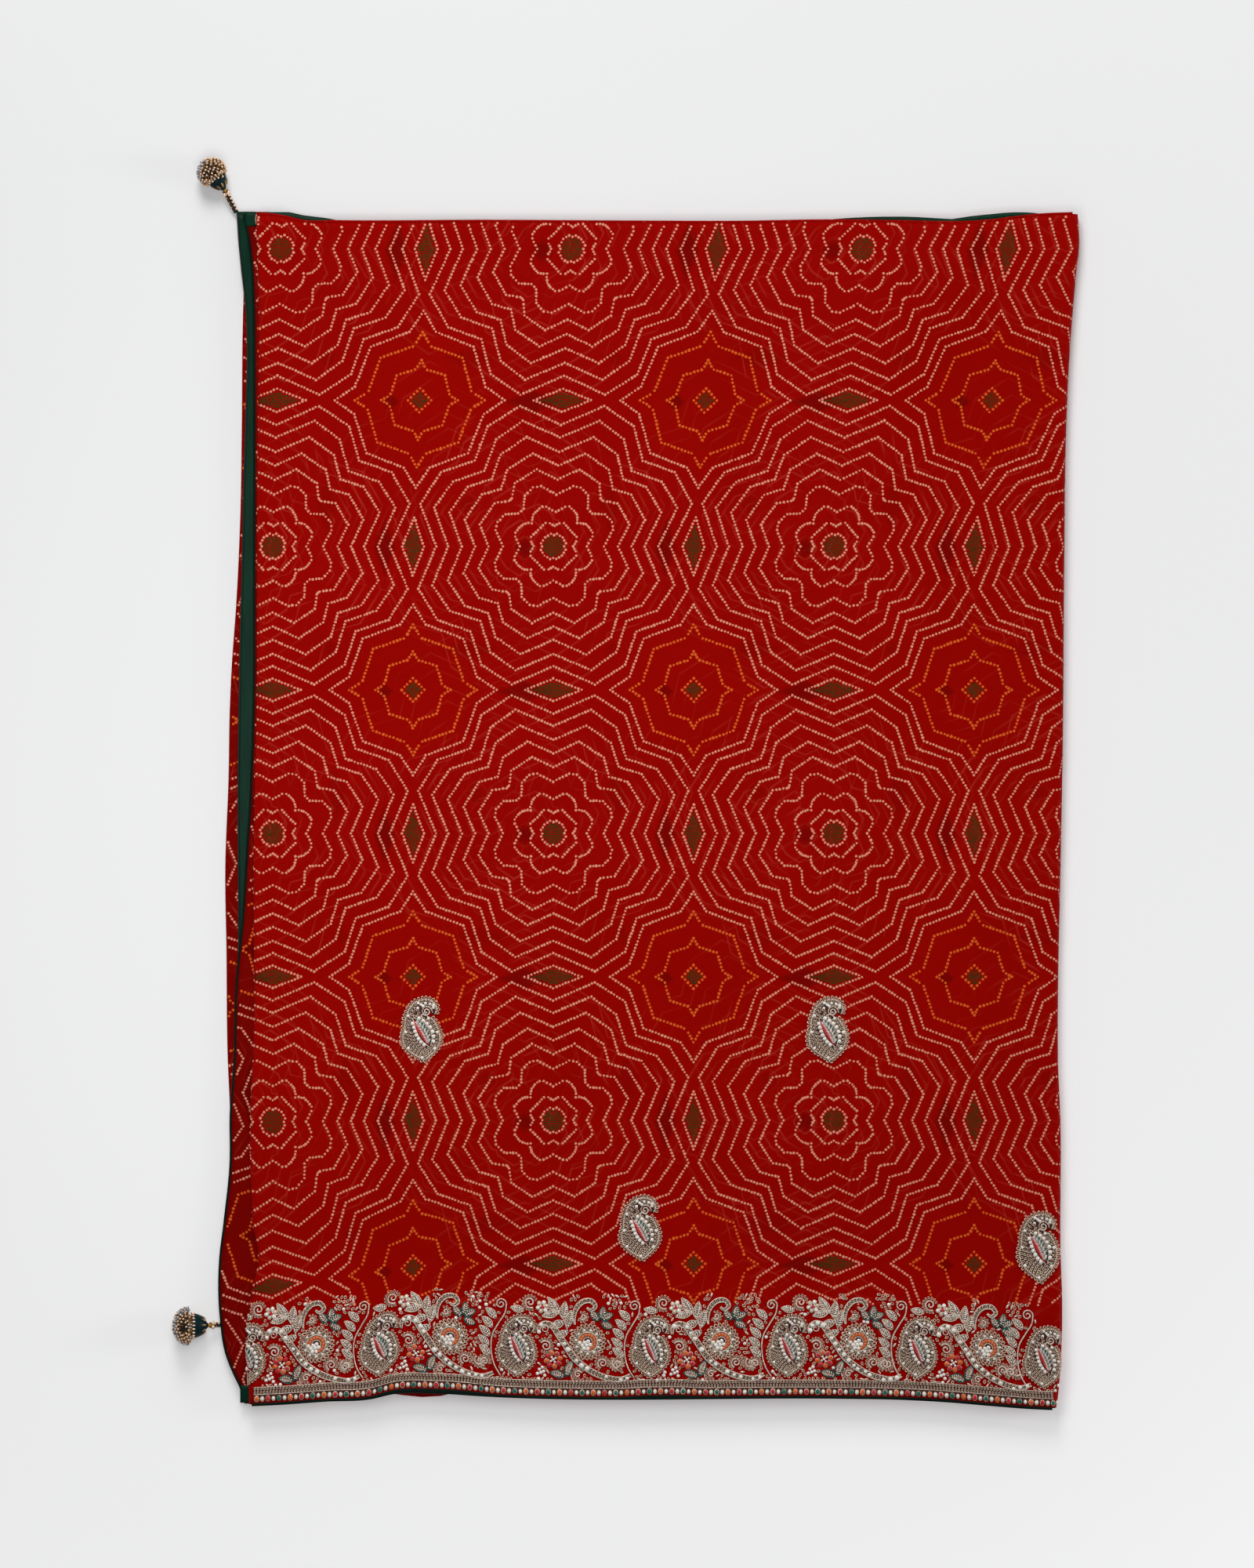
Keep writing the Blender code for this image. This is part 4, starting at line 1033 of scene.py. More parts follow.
RING = ring_shape()
DOME = dome_shape()
SEQUIN = dome_shape(8, ((1.12, 0.0), (0.8, 0.9)))
STONE = dome_shape(9, ((1.0, 0.0), (0.98, 0.35), (0.58, 0.95)))
GRAIN = grain_shape()
BEAD = bead_shape()
BEAD_SMALL = bead_shape(6, 4)
STRING_LOOP = ring_shape(9, 3, 0.27)


def lengths(path):
    """How far along a flat path each of its points lies."""
    chord = np.linalg.norm(np.diff(path[:, :2], axis=0), axis=1)
    return np.concatenate(([0.0], np.cumsum(chord)))


def through(rows, count):
    """Points spread evenly along a smooth curve through the rows of a table."""
    rows = np.array(rows, float)
    along = lengths(rows)
    at = np.linspace(0.0, along[-1], count)
    return np.stack([eased(np.stack((along, column), 1), at) for column in rows.T], 1)


def left_of(path):
    """Unit arrows to the left of a flat path, square to it, at each of its points."""
    step = np.gradient(path[:, :2], axis=0)
    turn = np.arctan2(step[:, 1], step[:, 0])
    return np.stack((-np.sin(turn), np.cos(turn)), 1)


def beside(path, distance):
    """A path moved to its own left by a distance."""
    return path[:, :2] + left_of(path) * np.reshape(distance, (-1, 1))


def spaced(path, step, start=0.5):
    """Points a step apart along a path, and the path's heading there."""
    along = lengths(path)
    count = max(1, int(round(along[-1] / step)))
    at = (np.arange(count) + start) / count * along[-1]

    def read(places):
        return np.stack([np.interp(places, along, column) for column in path.T], 1)

    return read(at), np.arctan2(*(read(at + 0.2) - read(at - 0.2)).T[1::-1])


def spiral(centre, radius, start, turns, inner=0.18):
    """A coil from its outside in: r = radius (1 - (1 - inner) u), angle = start + turns u."""
    u = np.linspace(0.0, 1.0, 40)
    reach = radius * (1.0 - (1.0 - inner) * u)
    return centre + reach[:, None] * ray(math.radians(start) + turns * 2 * math.pi * u)


def joined(parts):
    """One array of corners, of faces and of face slots from several (corners, faces, slot)."""
    first = np.cumsum([0] + [len(part[0]) for part in parts])
    faces = np.concatenate([part[1] + start for part, start in zip(parts, first)])
    slots = np.concatenate([np.full(len(part[1]), part[2]) for part in parts])
    return np.concatenate([part[0] for part in parts]), faces, slots


def copied(shape, count):
    """The faces of so many copies of a shape."""
    return (shape[1][None] + (np.arange(count) * len(shape[0]))[:, None, None]).reshape(-1, 3)


class Stitching:
    """Needlework drawn flat, (x, y, height), and then laid on the top stretch."""

    def __init__(self):
        self.parts = []
        self.at()

    def at(self, origin=(0.0, 0.0), turn=0.0, scale=1.0):
        """Choose where the next motifs lie, how they are turned and their scale."""
        self.origin, self.turn, self.scale = np.array(origin, float), turn, scale

    def add(self, points, faces, stuff):
        """Take in a shape drawn in the motif's own flat place."""
        cos, sin = self.scale * ray(self.turn)
        flat = points[:, :2] @ ((cos, sin), (-sin, cos)) + self.origin
        self.parts.append((np.column_stack((flat, points[:, 2])), faces, stuff))

    def many(self, shape, spots, heading, size, height, stuff):
        """Copies of a shape at spots: each point is spot + turn(heading) (point * size)."""
        spots = np.atleast_2d(spots)[:, :2]
        count = len(spots)
        size = np.broadcast_to(size, (count, 3)) * RANDOM.uniform(0.92, 1.08, (count, 1))
        local = shape[0][None] * size[:, None]
        cos, sin = ray(np.broadcast_to(heading, count)).T[..., None]
        points = np.stack((spots[:, :1] + local[..., 0] * cos - local[..., 1] * sin,
                           spots[:, 1:] + local[..., 0] * sin + local[..., 1] * cos,
                           local[..., 2] + height), -1)
        self.add(points.reshape(-1, 3), copied(shape, count), stuff)

    def row(self, shape, path, step, size, height, stuff, lean=0.0, start=0.5, keep=None,
            follow=1.0):
        """Copies of a shape a step apart along a path, turned with it if follow is 1."""
        spots, turn = spaced(path, step, start)
        kept = slice(None) if keep is None else keep(spots)
        self.many(shape, spots[kept], follow * turn[kept] + lean, size, height, stuff)

    def cord(self, path, radius, height, stuff, sides=5):
        """A round cord along a flat path."""
        points = np.column_stack((path[:, :2], np.full(len(path), height)))
        self.add(*sweep(points, radius, sides), stuff)

    def mound(self, line, height, stuff):
        """Padding under stitches: a low rounded ridge along (x, y, half width)."""
        section = np.array(((1.0, 0.0), (0.86, 0.8), (0.3, 1.0), (-0.3, 1.0), (-0.86, 0.8),
                            (-1.0, 0.0), (0.0, -0.02)))
        flat = (line[:, None, :2]
                + left_of(line)[:, None] * (line[:, 2:3] * section[:, 0])[..., None])
        full = np.minimum(1.0, line[:, 2:3] / 1.2)
        high = MOUND_FOOT + (height - MOUND_FOOT) * section[:, 1] * full
        points = np.concatenate((flat, high[..., None]), 2)
        rows, around = points.shape[:2]
        walls = two_triangles(ring_quads(rows, around)[:, ::-1])
        fan = np.arange(1, around - 1)
        start = np.stack((np.zeros_like(fan), fan, fan + 1), 1)
        end = start[:, ::-1] + (rows - 1) * around
        self.add(points.reshape(-1, 3), np.concatenate((walls, start, end)), stuff)

    def lay(self, name, *nodes):
        """Lay it all on the cloth as one piece that stands for some of the solids."""
        points, faces, slots = joined(self.parts)
        kept = (points[faces, 0] > top_crests(points[faces, 1])[0] - WRAP_KEPT).all(1)
        used, faces = np.unique(faces[kept], return_inverse=True)
        x, y, high = points[used].T
        fade = smoothstep((HEM_TOP - y) / HEM_FADE)
        y = y + (eased(TOP_NEAR_EDGE, x) - NEAR_LINE) * fade
        px, pz = top_place(x, y, lift=CLOTH / 2 + high)
        piece = make_piece(name, np.stack((px, y, pz), 1), faces.reshape(-1, 3), THREADS,
                           slots[kept])
        stand_for(piece, "thread_work", *nodes)


def rope(work, rows, count=60, bright=6.5, base=0.5):
    """A band between two rails, filled with loops, with a bright sequin here and there."""
    line = through(rows, count)
    work.mound(line, base, SHADED_PADDING)
    inner = np.maximum(line[:, 2] - 0.5, 0.2)
    for side in (1.0, -1.0):
        work.cord(beside(line, side * inner), 0.6, base + 0.35, RAIL)
    spots, turn = spaced(line, 3.3)
    fit = np.column_stack((np.full(len(spots), 1.5), np.maximum(spots[:, 2] - 0.7, 0.5),
                           np.full(len(spots), 1.3)))
    work.many(RING, spots, turn, fit, base + 0.4, WIRE)
    if bright:
        spots, _ = spaced(line, bright, 0.3)
        spots = spots[RANDOM.random(len(spots)) < 0.72]
        size = RANDOM.uniform(0.75, 1.1, (len(spots), 1)) * (1.95, 1.95, 1.1)
        spots = spots[:, :2] + RANDOM.normal(0.0, 0.5, (len(spots), 2))
        work.many(SEQUIN, spots, 0.0, size, base + 0.7, BRIGHT)


def coil(work, centre, radius, start, turns):
    """A cord wound in a spiral on bare cloth, with loops round its outside."""
    work.cord(spiral(centre, radius - 1.6, start, turns * 1.2, 0.14), 0.8, 0.5, RAIL)
    work.row(RING, spiral(centre, radius + 0.2, start, math.copysign(0.8, turns), 0.86), 2.7,
             (1.2, 1.8, 1.3), 0.45, WIRE, 0.4)


def leaf_line(base, tip, half, bow, t):
    """A leaf's midrib, bowed aside, and its half width half sin(pi t)^0.75 (1.2 - 0.4 t)."""
    ahead = np.subtract(tip, base)
    aside = np.array((-ahead[1], ahead[0])) / np.linalg.norm(ahead)
    width = half * np.sin(math.pi * np.clip(t, 0.015, 0.985)) ** 0.75 * (1.2 - 0.4 * t)
    bowed = aside * bow * np.sin(math.pi * t)[:, None]
    return np.column_stack((base + ahead * t[:, None] + bowed, width))


def leaf(work, base, tip, half, fill, bow=0.0, padding=0.6, step=1.9, edge=None):
    """A stitched leaf: padding, slanting stitches from a midrib, and an outline of cord."""
    line = leaf_line(base, tip, half, bow, np.linspace(0.0, 1.0, 19))
    work.mound(line, padding, SHADED_PADDING)
    for side, stuff in zip((1.0, -1.0), fill):
        work.cord(beside(line, side * (line[:, 2] - 0.1)), 0.5, padding + 0.15,
                  RAIL if edge is None else edge, 4)
        spots, turn = spaced(line[1:-2], step)
        slant = turn + side * 0.95
        reach = np.maximum(spots[:, 2] * 0.5, 0.3)
        spots = spots[:, :2] + ray(slant) * reach[:, None]
        fit = np.column_stack((reach * 1.15, np.full((len(reach), 2), 0.6)))
        pick = (np.arange(len(spots)) % 3 != 2) | (stuff == SCARLET)
        for chosen, thread in ((pick, stuff), (~pick, RAIL)):
            work.many(GRAIN, spots[chosen], slant[chosen], fit[chosen], padding + 0.05, thread)


def ridge_side(line, side, inset):
    """One side of a tapering ridge, moved in from its edge, where it is wide enough."""
    wide = line[:, 2] > inset + 0.4
    return beside(line, side * (line[:, 2] - inset))[wide]


def paisley(work):
    """A padded paisley: rows of loops round a slit leaf, with a coil in its hook."""
    line = through(PAISLEY, 70)
    work.mound(line, 0.7, SHADED_PADDING)
    base, tip, bow, half = np.array((8.6, -18.0)), np.array((-9.0, 12.0)), -2.4, 6.8
    ahead = tip - base
    length = np.linalg.norm(ahead)
    aside = np.array((-ahead[1], ahead[0])) / length

    def outside(spots):
        """Which spots lie clear of the slit leaf, an ellipse, and of the coil in the hook."""
        off = spots[:, :2] - (base + tip) / 2
        clear = (off @ ahead / length / (length / 2)) ** 2 + (off @ aside / (half + 1.0)) ** 2 > 1.0
        return clear & (np.hypot(*(spots[:, :2] - HOOK_PLACE).T) > 6.6)

    for inset, step, size in ((-0.4, 3.9, (1.8, 2.6)), (3.6, 3.8, (1.7, 2.2)),
                              (7.2, 3.7, (1.6, 2.1)), (10.6, 3.6, (1.6, 2.0)),
                              (13.8, 3.6, (1.6, 1.9)), (17.0, 3.6, (1.6, 1.9))):
        left, right = (ridge_side(line, side, inset) for side in (1.0, -1.0))
        path = np.concatenate((left[::-1], right))
        work.row(RING, path, step, (*size, 1.5), 1.0, WIRE, keep=outside)
        if inset == 3.6:
            work.row(SEQUIN, path, 4.6 * step, (1.5, 1.5, 1.0), 1.2, BRIGHT, 0.0, 0.25,
                     outside, 0.0)
    left, right = (ridge_side(line, side, 1.7) for side in (1.0, -1.0))
    work.cord(through(np.concatenate((left[::-3], right[::3])), 90), 0.5, 1.3, RAIL, 4)
    leaf(work, base, tip, half, (SCARLET, TEAL), bow, 1.0, 1.3)
    slit = leaf_line(base, tip, half, bow, np.linspace(0.06, 0.94, 40))
    for side, step in ((1.0, 4.3), (-1.0, 5.0)):
        work.row(SEQUIN, beside(slit, side * (slit[:, 2] + 1.6)), step, (1.8, 1.8, 1.1), 1.35,
                 BRIGHT)
    for side in (1.0, -1.0):
        work.row(GRAIN, beside(slit, side * 0.22 * slit[:, 2])[3:-3], 1.9, (1.8, 0.4, 0.6), 1.55,
                 BRIGHT, side * 0.95)
    spots, turn = spaced(through(PAISLEY[7:], 30), 5.2)
    work.many(SEQUIN, spots[:-1], turn[:-1], (1.4, 1.4, 0.9), 1.2, BRIGHT)
    knot = spiral(HOOK_PLACE, 4.2, 215.0, 1.3)
    stem = through(((7.6, 3.0), (4.4, 6.6), (0.6, 11.0), (0.2, 14.8)), 14)
    work.mound(np.array(((4.8, 13.0, 2.0), (5.0, 16.0, 4.0), (5.0, 19.0, 4.4), (5.0, 22.0, 3.6),
                         (5.0, 24.0, 2.0))), 0.5, SHADED_PADDING)
    work.cord(np.concatenate((stem, knot)), 0.8, 1.1, RAIL)


def bloom(work, centre):
    """A round flower: feathered rim, a crescent of orange satin stitch, and sequins."""
    circle = ray(np.linspace(0.0, 2 * math.pi, 60))
    across = np.linspace(-12.95, 12.95, 17)
    half = np.sqrt(np.maximum(13.0 ** 2 - across ** 2, 0.6))
    work.mound(np.column_stack((centre[0] + across, np.full(17, centre[1]), half)), 0.7, SHADED_PADDING)
    work.row(RING, circle * 15.0 + centre, 3.7, (1.9, 3.2, 1.5), 0.8, WIRE, 0.5)
    inner = circle * 11.2 + centre
    work.row(RING, inner, 3.3, (1.7, 2.0, 1.5), 1.1, WIRE)
    work.row(SEQUIN, inner, 6.6, (1.2, 1.2, 0.9), 1.0, BRIGHT, 0.0, 0.25, follow=0.0)
    work.cord(circle * 9.2 + centre, 0.6, 1.2, RAIL)
    turn = np.radians(np.arange(-80.0, 190.0, 8.0))
    spots = centre + 6.7 * ray(turn)
    for index, stuff in enumerate((ORANGE, ORANGE, PEACH)):
        work.many(GRAIN, spots[index::3], turn[index::3] + 0.25, (1.9, 0.8, 1.0), 0.95, stuff)
    work.cord(centre + 4.3 * ray(np.radians(np.arange(-70.0, 185.0, 12.0))), 0.45, 1.25, RAIL, 4)
    turn = np.radians(np.arange(196.0, 280.0, 11.0))
    work.many(GRAIN, centre + 6.4 * ray(turn), turn, (2.2, 0.7, 0.9), 0.95, RAIL)
    heart = centre + np.array(((0.4, 0.6), (-2.9, -0.6), (-1.0, -3.0), (2.4, -2.6), (-5.0, -3.4),
                               (-3.6, -6.2), (-7.4, -0.8), (0.2, -6.4)))
    work.many(SEQUIN, heart, 0.0, (1.75, 1.75, 1.1), 1.25, BRIGHT)


def stone_flower(work, centre, reach, count, stuffs, size):
    """Set stones round a silver heart, each with a loop of wire about it."""
    turn = clock(count) + 0.2
    spots = centre + reach * ray(turn)
    work.many(RING, spots, turn, (size[0] + 0.7, size[1] + 0.7, 1.4), 0.5, WIRE)
    for index, stuff in enumerate(stuffs):
        chosen = np.arange(count) % len(stuffs) == index
        work.many(STONE, spots[chosen], turn[chosen], (*size, 1.3), 0.4, stuff)
    near = centre + reach * 0.42 * ray(turn + 0.4)
    work.many(DOME, near[::2], 0.0, (1.1, 1.1, 1.1), 0.5, BRIGHT)
    work.many(DOME, centre, 0.0, (1.4, 1.4, 1.5), 0.5, BRIGHT)


def hem_repeat(index, start, at_x):
    """One repeat of the hem: vine, bloom, flowers and leaves, and then a paisley."""
    work = Stitching()
    work.at((start, PAISLEY_Y))
    rope(work, VINE)
    work.cord(spiral((29.6, 17.2), 4.0, 120.0, -1.3), 0.55, 0.7, RAIL)
    bloom(work, np.array(BLOOM_PLACE))
    stone_flower(work, np.array(FLOWER_PLACE), 6.3, 8, (AMBER, RUBY), (2.4, 2.0))
    rope(work, ((58.0, 21.5, 0.8), (57.2, 29.0, 1.8), (59.8, 37.5, 2.4), (66.5, 43.5, 2.5),
                (74.0, 43.5, 2.3), (77.2, 38.6, 2.0), (72.8, 35.2, 1.5), (69.2, 37.6, 1.0)),
         44, 0.0, 0.4)
    coil(work, (65.5, 29.0), 4.6, 200.0, 1.1)
    for base, tip, half, bow in (((81.0, 26.0), (73.2, 35.0), 3.3, 0.8),
                                 ((82.2, 27.0), (84.6, 38.8), 3.5, -0.8),
                                 ((83.4, 26.0), (94.0, 31.6), 3.3, 0.8),
                                 ((83.0, 24.2), (93.6, 19.4), 3.3, -0.6),
                                 ((50.2, -27.0), (55.6, -12.6), 3.7, 0.8),
                                 ((48.4, -27.6), (34.6, -23.8), 3.6, -0.8)):
        leaf(work, base, tip, half, (RAIL, WIRE), bow, edge=TEAL)
    for centre, radius, turn, turns in (((30.6, 1.2), 6.8, 150.0, -1.25),
                                        ((84.0, -14.4), 6.4, 250.0, -1.3),
                                        ((60.6, -25.0), 5.2, 20.0, 1.1),
                                        ((97.4, -15.0), 6.4, 120.0, 1.1)):
        coil(work, centre, radius, turn, turns)
    cluster = np.array(((24.5, -21.0), (27.3, -19.0), (26.0, -24.0), (22.8, -25.0),
                        (28.6, -22.8), (29.6, -26.6)))
    work.many(SEQUIN, cluster, 0.0, (1.45, 1.45, 1.0), 0.1, BRIGHT)
    work.cord(through(((51.0, 16.0), (47.0, 27.0), (42.0, 33.0), (29.0, 37.0)), 24), 0.6, 0.5,
              RAIL)
    work.cord(through(((53.5, -23.0), (55.5, -30.0), (57.0, -33.0)), 10), 0.5, 0.4, RAIL)
    for base, tip, half in (((46.5, 27.0), (49.0, 43.0), 3.7), ((43.0, 31.5), (33.0, 46.5), 3.8),
                            ((42.0, 32.5), (27.0, 29.0), 3.3), ((48.0, 24.0), (34.5, 19.0), 3.5),
                            ((50.5, 18.5), (54.5, 35.0), 3.4), ((51.5, 15.0), (40.0, 10.0), 3.1)):
        leaf(work, base, tip, half, (WIRE, BRIGHT))
    stone_flower(work, np.array(SPRIG_PLACE), 4.2, 6, (WIRE, BRIGHT), (2.1, 1.8))
    work.many(STONE, SPRIG_PLACE, 0.0, (1.7, 1.7, 1.6), 1.2, RUBY)
    coil(work, (15.8, 41.6), 7.0, -60.0, -1.25)
    leaf(work, (10.0, 34.0), (-2.6, 36.4), 3.2, (WIRE, BRIGHT))

    work.at((at_x, PAISLEY_Y))
    stem = through(((-12.0, -28.0), (-17.4, -19.0), (-20.8, -4.0), (-19.6, 10.0), (-13.2, 22.0),
                    (-7.4, 32.0), (-6.4, 39.5)), 50)
    work.cord(stem, 0.7, 0.6, RAIL)
    work.cord(spiral((-11.6, 39.2), 5.2, 0.0, 1.5), 0.7, 0.6, RAIL)
    for x, y in ((-20.0, 30.0), (-23.5, 21.5), (-26.0, 13.0), (-27.0, 4.0), (-26.0, -5.0)):
        leaf(work, (x + 3.6, y - 4.5), (x - 6.0, y + 4.8), 3.3, (WIRE, BRIGHT), -0.8)
    coil(work, (-27.0, -15.5), 6.0, 260.0, -1.2)
    places = [(at_x + PAISLEY_NUDGE[0], PAISLEY_Y + PAISLEY_NUDGE[1])]
    if index == 1:
        places.insert(0, (start + PAISLEY_NUDGE[0], PAISLEY_Y))
    for place in places:
        work.at(place, PAISLEY_TURN, PAISLEY_SCALE)
        paisley(work)
    return work


def ground_map(works):
    """Which square millimetres of the hem the drawn motifs cover."""
    covered = np.zeros((int(HEM_TALL), int(HEM_LONG)), bool)
    for work in works:
        for points, _, _ in work.parts:
            j, i = (points[:, :2] - HEM_CORNER).astype(int).T
            inside = (i >= 0) & (i < len(covered)) & (j >= 0) & (j < len(covered[0]))
            covered[i[inside], j[inside]] = True
    return covered


def grown(covered, reach):
    """The map with everything within a reach of what it covers."""
    steps = np.arange(-int(reach), int(reach) + 1)
    wide = covered.copy()
    for i in steps:
        for j in steps:
            if i * i + j * j <= reach * reach:
                wide |= np.roll(covered, (i, j), (0, 1))
    return wide


def fillers(work, covered, start, end):
    """Loops, sequins and short stitches in the gaps between a repeat's motifs."""
    x = np.arange(start, end, FILLER_STEP)
    y = np.arange(HEM_CORNER[1] + 3.0, HEM_CORNER[1] + HEM_TALL - 8.0, FILLER_STEP * 0.87)[:, None]
    x = x + FILLER_STEP / 2 * (np.arange(len(y)) % 2)[:, None]
    spots = grid_of(x, y, 0.0).reshape(-1, 3)[:, :2]
    spots += RANDOM.normal(0.0, 0.45, spots.shape)
    i, j = (spots[:, ::-1] - HEM_CORNER[::-1]).astype(int).T
    skyline = len(covered) - 1 - np.argmax(grown(covered, 3.0)[::-1], axis=0)
    spots = spots[(i < skyline[j] - 4) & ~grown(covered, 1.8)[i, j]]
    turn = spots[:, 0] / 11.0 + spots[:, 1] / 7.0
    kind = RANDOM.random(len(spots))
    for low, high, shape, size, stuff in ((0.0, 0.66, RING, (2.2, 1.5, 1.4), WIRE),
                                          (0.66, 0.84, GRAIN, (2.4, 0.8, 0.9), RAIL),
                                          (0.84, 0.90, SEQUIN, (1.5, 1.5, 1.0), BRIGHT)):
        chosen = (kind >= low) & (kind < high)
        work.many(shape, spots[chosen], turn[chosen], size, 0.3, stuff)


def hem_band():
    """The hem's edge: stones in loops with a bead between each, below two rows of loops."""
    work = Stitching()
    start, end = TOP_NEAR_EDGE[0, 0] + 4.5, TOP_NEAR_EDGE[-1, 0] - 2.0
    x = np.arange(start, end, 2.0)
    base = HEM_CORD + GAP + NEAR_LINE

    def row(spots_x, up):
        return np.stack((spots_x, base + up + 0.8 * lens(spots_x)), 1)

    work.mound(np.column_stack((row(x, 8.4), np.full(len(x), 6.4))), 0.35, SHADED_PADDING)
    stones = row(np.arange(start + 3.0, end, STONE_STEP), 3.8)
    beads = row(stones[:, 0] + STONE_STEP / 2, 3.6)
    work.many(RING, stones, 0.0, (2.8, 3.6, 1.5), 0.5, WIRE)
    work.many(RING, beads, 0.0, (2.3, 3.0, 1.4), 0.4, WIRE)
    for index, stuff in enumerate((AMBER, RUBY, EMERALD)):
        work.many(STONE, stones[index::3], 0.0, (1.95, 2.6, 1.6), 0.4, stuff)
    work.many(DOME, beads, 0.0, (1.5, 1.7, 1.5), 0.5, BRIGHT)
    for up, thick in ((7.9, 0.4), (14.7, 0.3)):
        work.cord(row(x, up), thick, 0.7, RAIL, 4)
    for up, step, size in ((9.8, 2.9, (1.15, 1.8, 1.5)), (13.1, 3.0, (1.3, 1.6, 1.5))):
        work.row(RING, row(x, up), step, size, 0.7, WIRE)
    work.lay("hem_edge_band", "hem_band")


def embroidery():
    """Scattered paisleys, the hem's repeats and its edge band."""
    for index, place in enumerate(BUTTI_PLACES, 1):
        work = Stitching()
        work.at(place, 0.0, BUTTI_SCALE)
        paisley(work)
        work.lay(f"scattered_paisley_{index}", f"butti_{index}")
    repeats = list(enumerate(zip((PAISLEY_X[0] - REPEAT, *PAISLEY_X), PAISLEY_X), 1))
    works = [hem_repeat(index, *span) for index, span in repeats]
    covered = ground_map(works)
    for (index, (start, at_x)), work in zip(repeats, works):
        work.at()
        fillers(work, covered, max(start + 20.0, HEM_CORNER[0]), at_x + 20.0)
        work.lay(f"hem_repeat_{index}", *(f"hem_{motif}_{index}" for motif in (
            "paisley", "vine", "bloom", "flower")))
    hem_band()


def aimed(shape, spots, normal, aside, size):
    """Copies of a shape stood at spots, its x along normal and its y along aside."""
    local = shape[0][None] * np.broadcast_to(size, (len(spots), 3))[:, None]
    axes = np.stack((normal, aside, np.cross(normal, aside)), 1)
    return (spots[:, None] + local @ axes).reshape(-1, 3), copied(shape, len(spots))


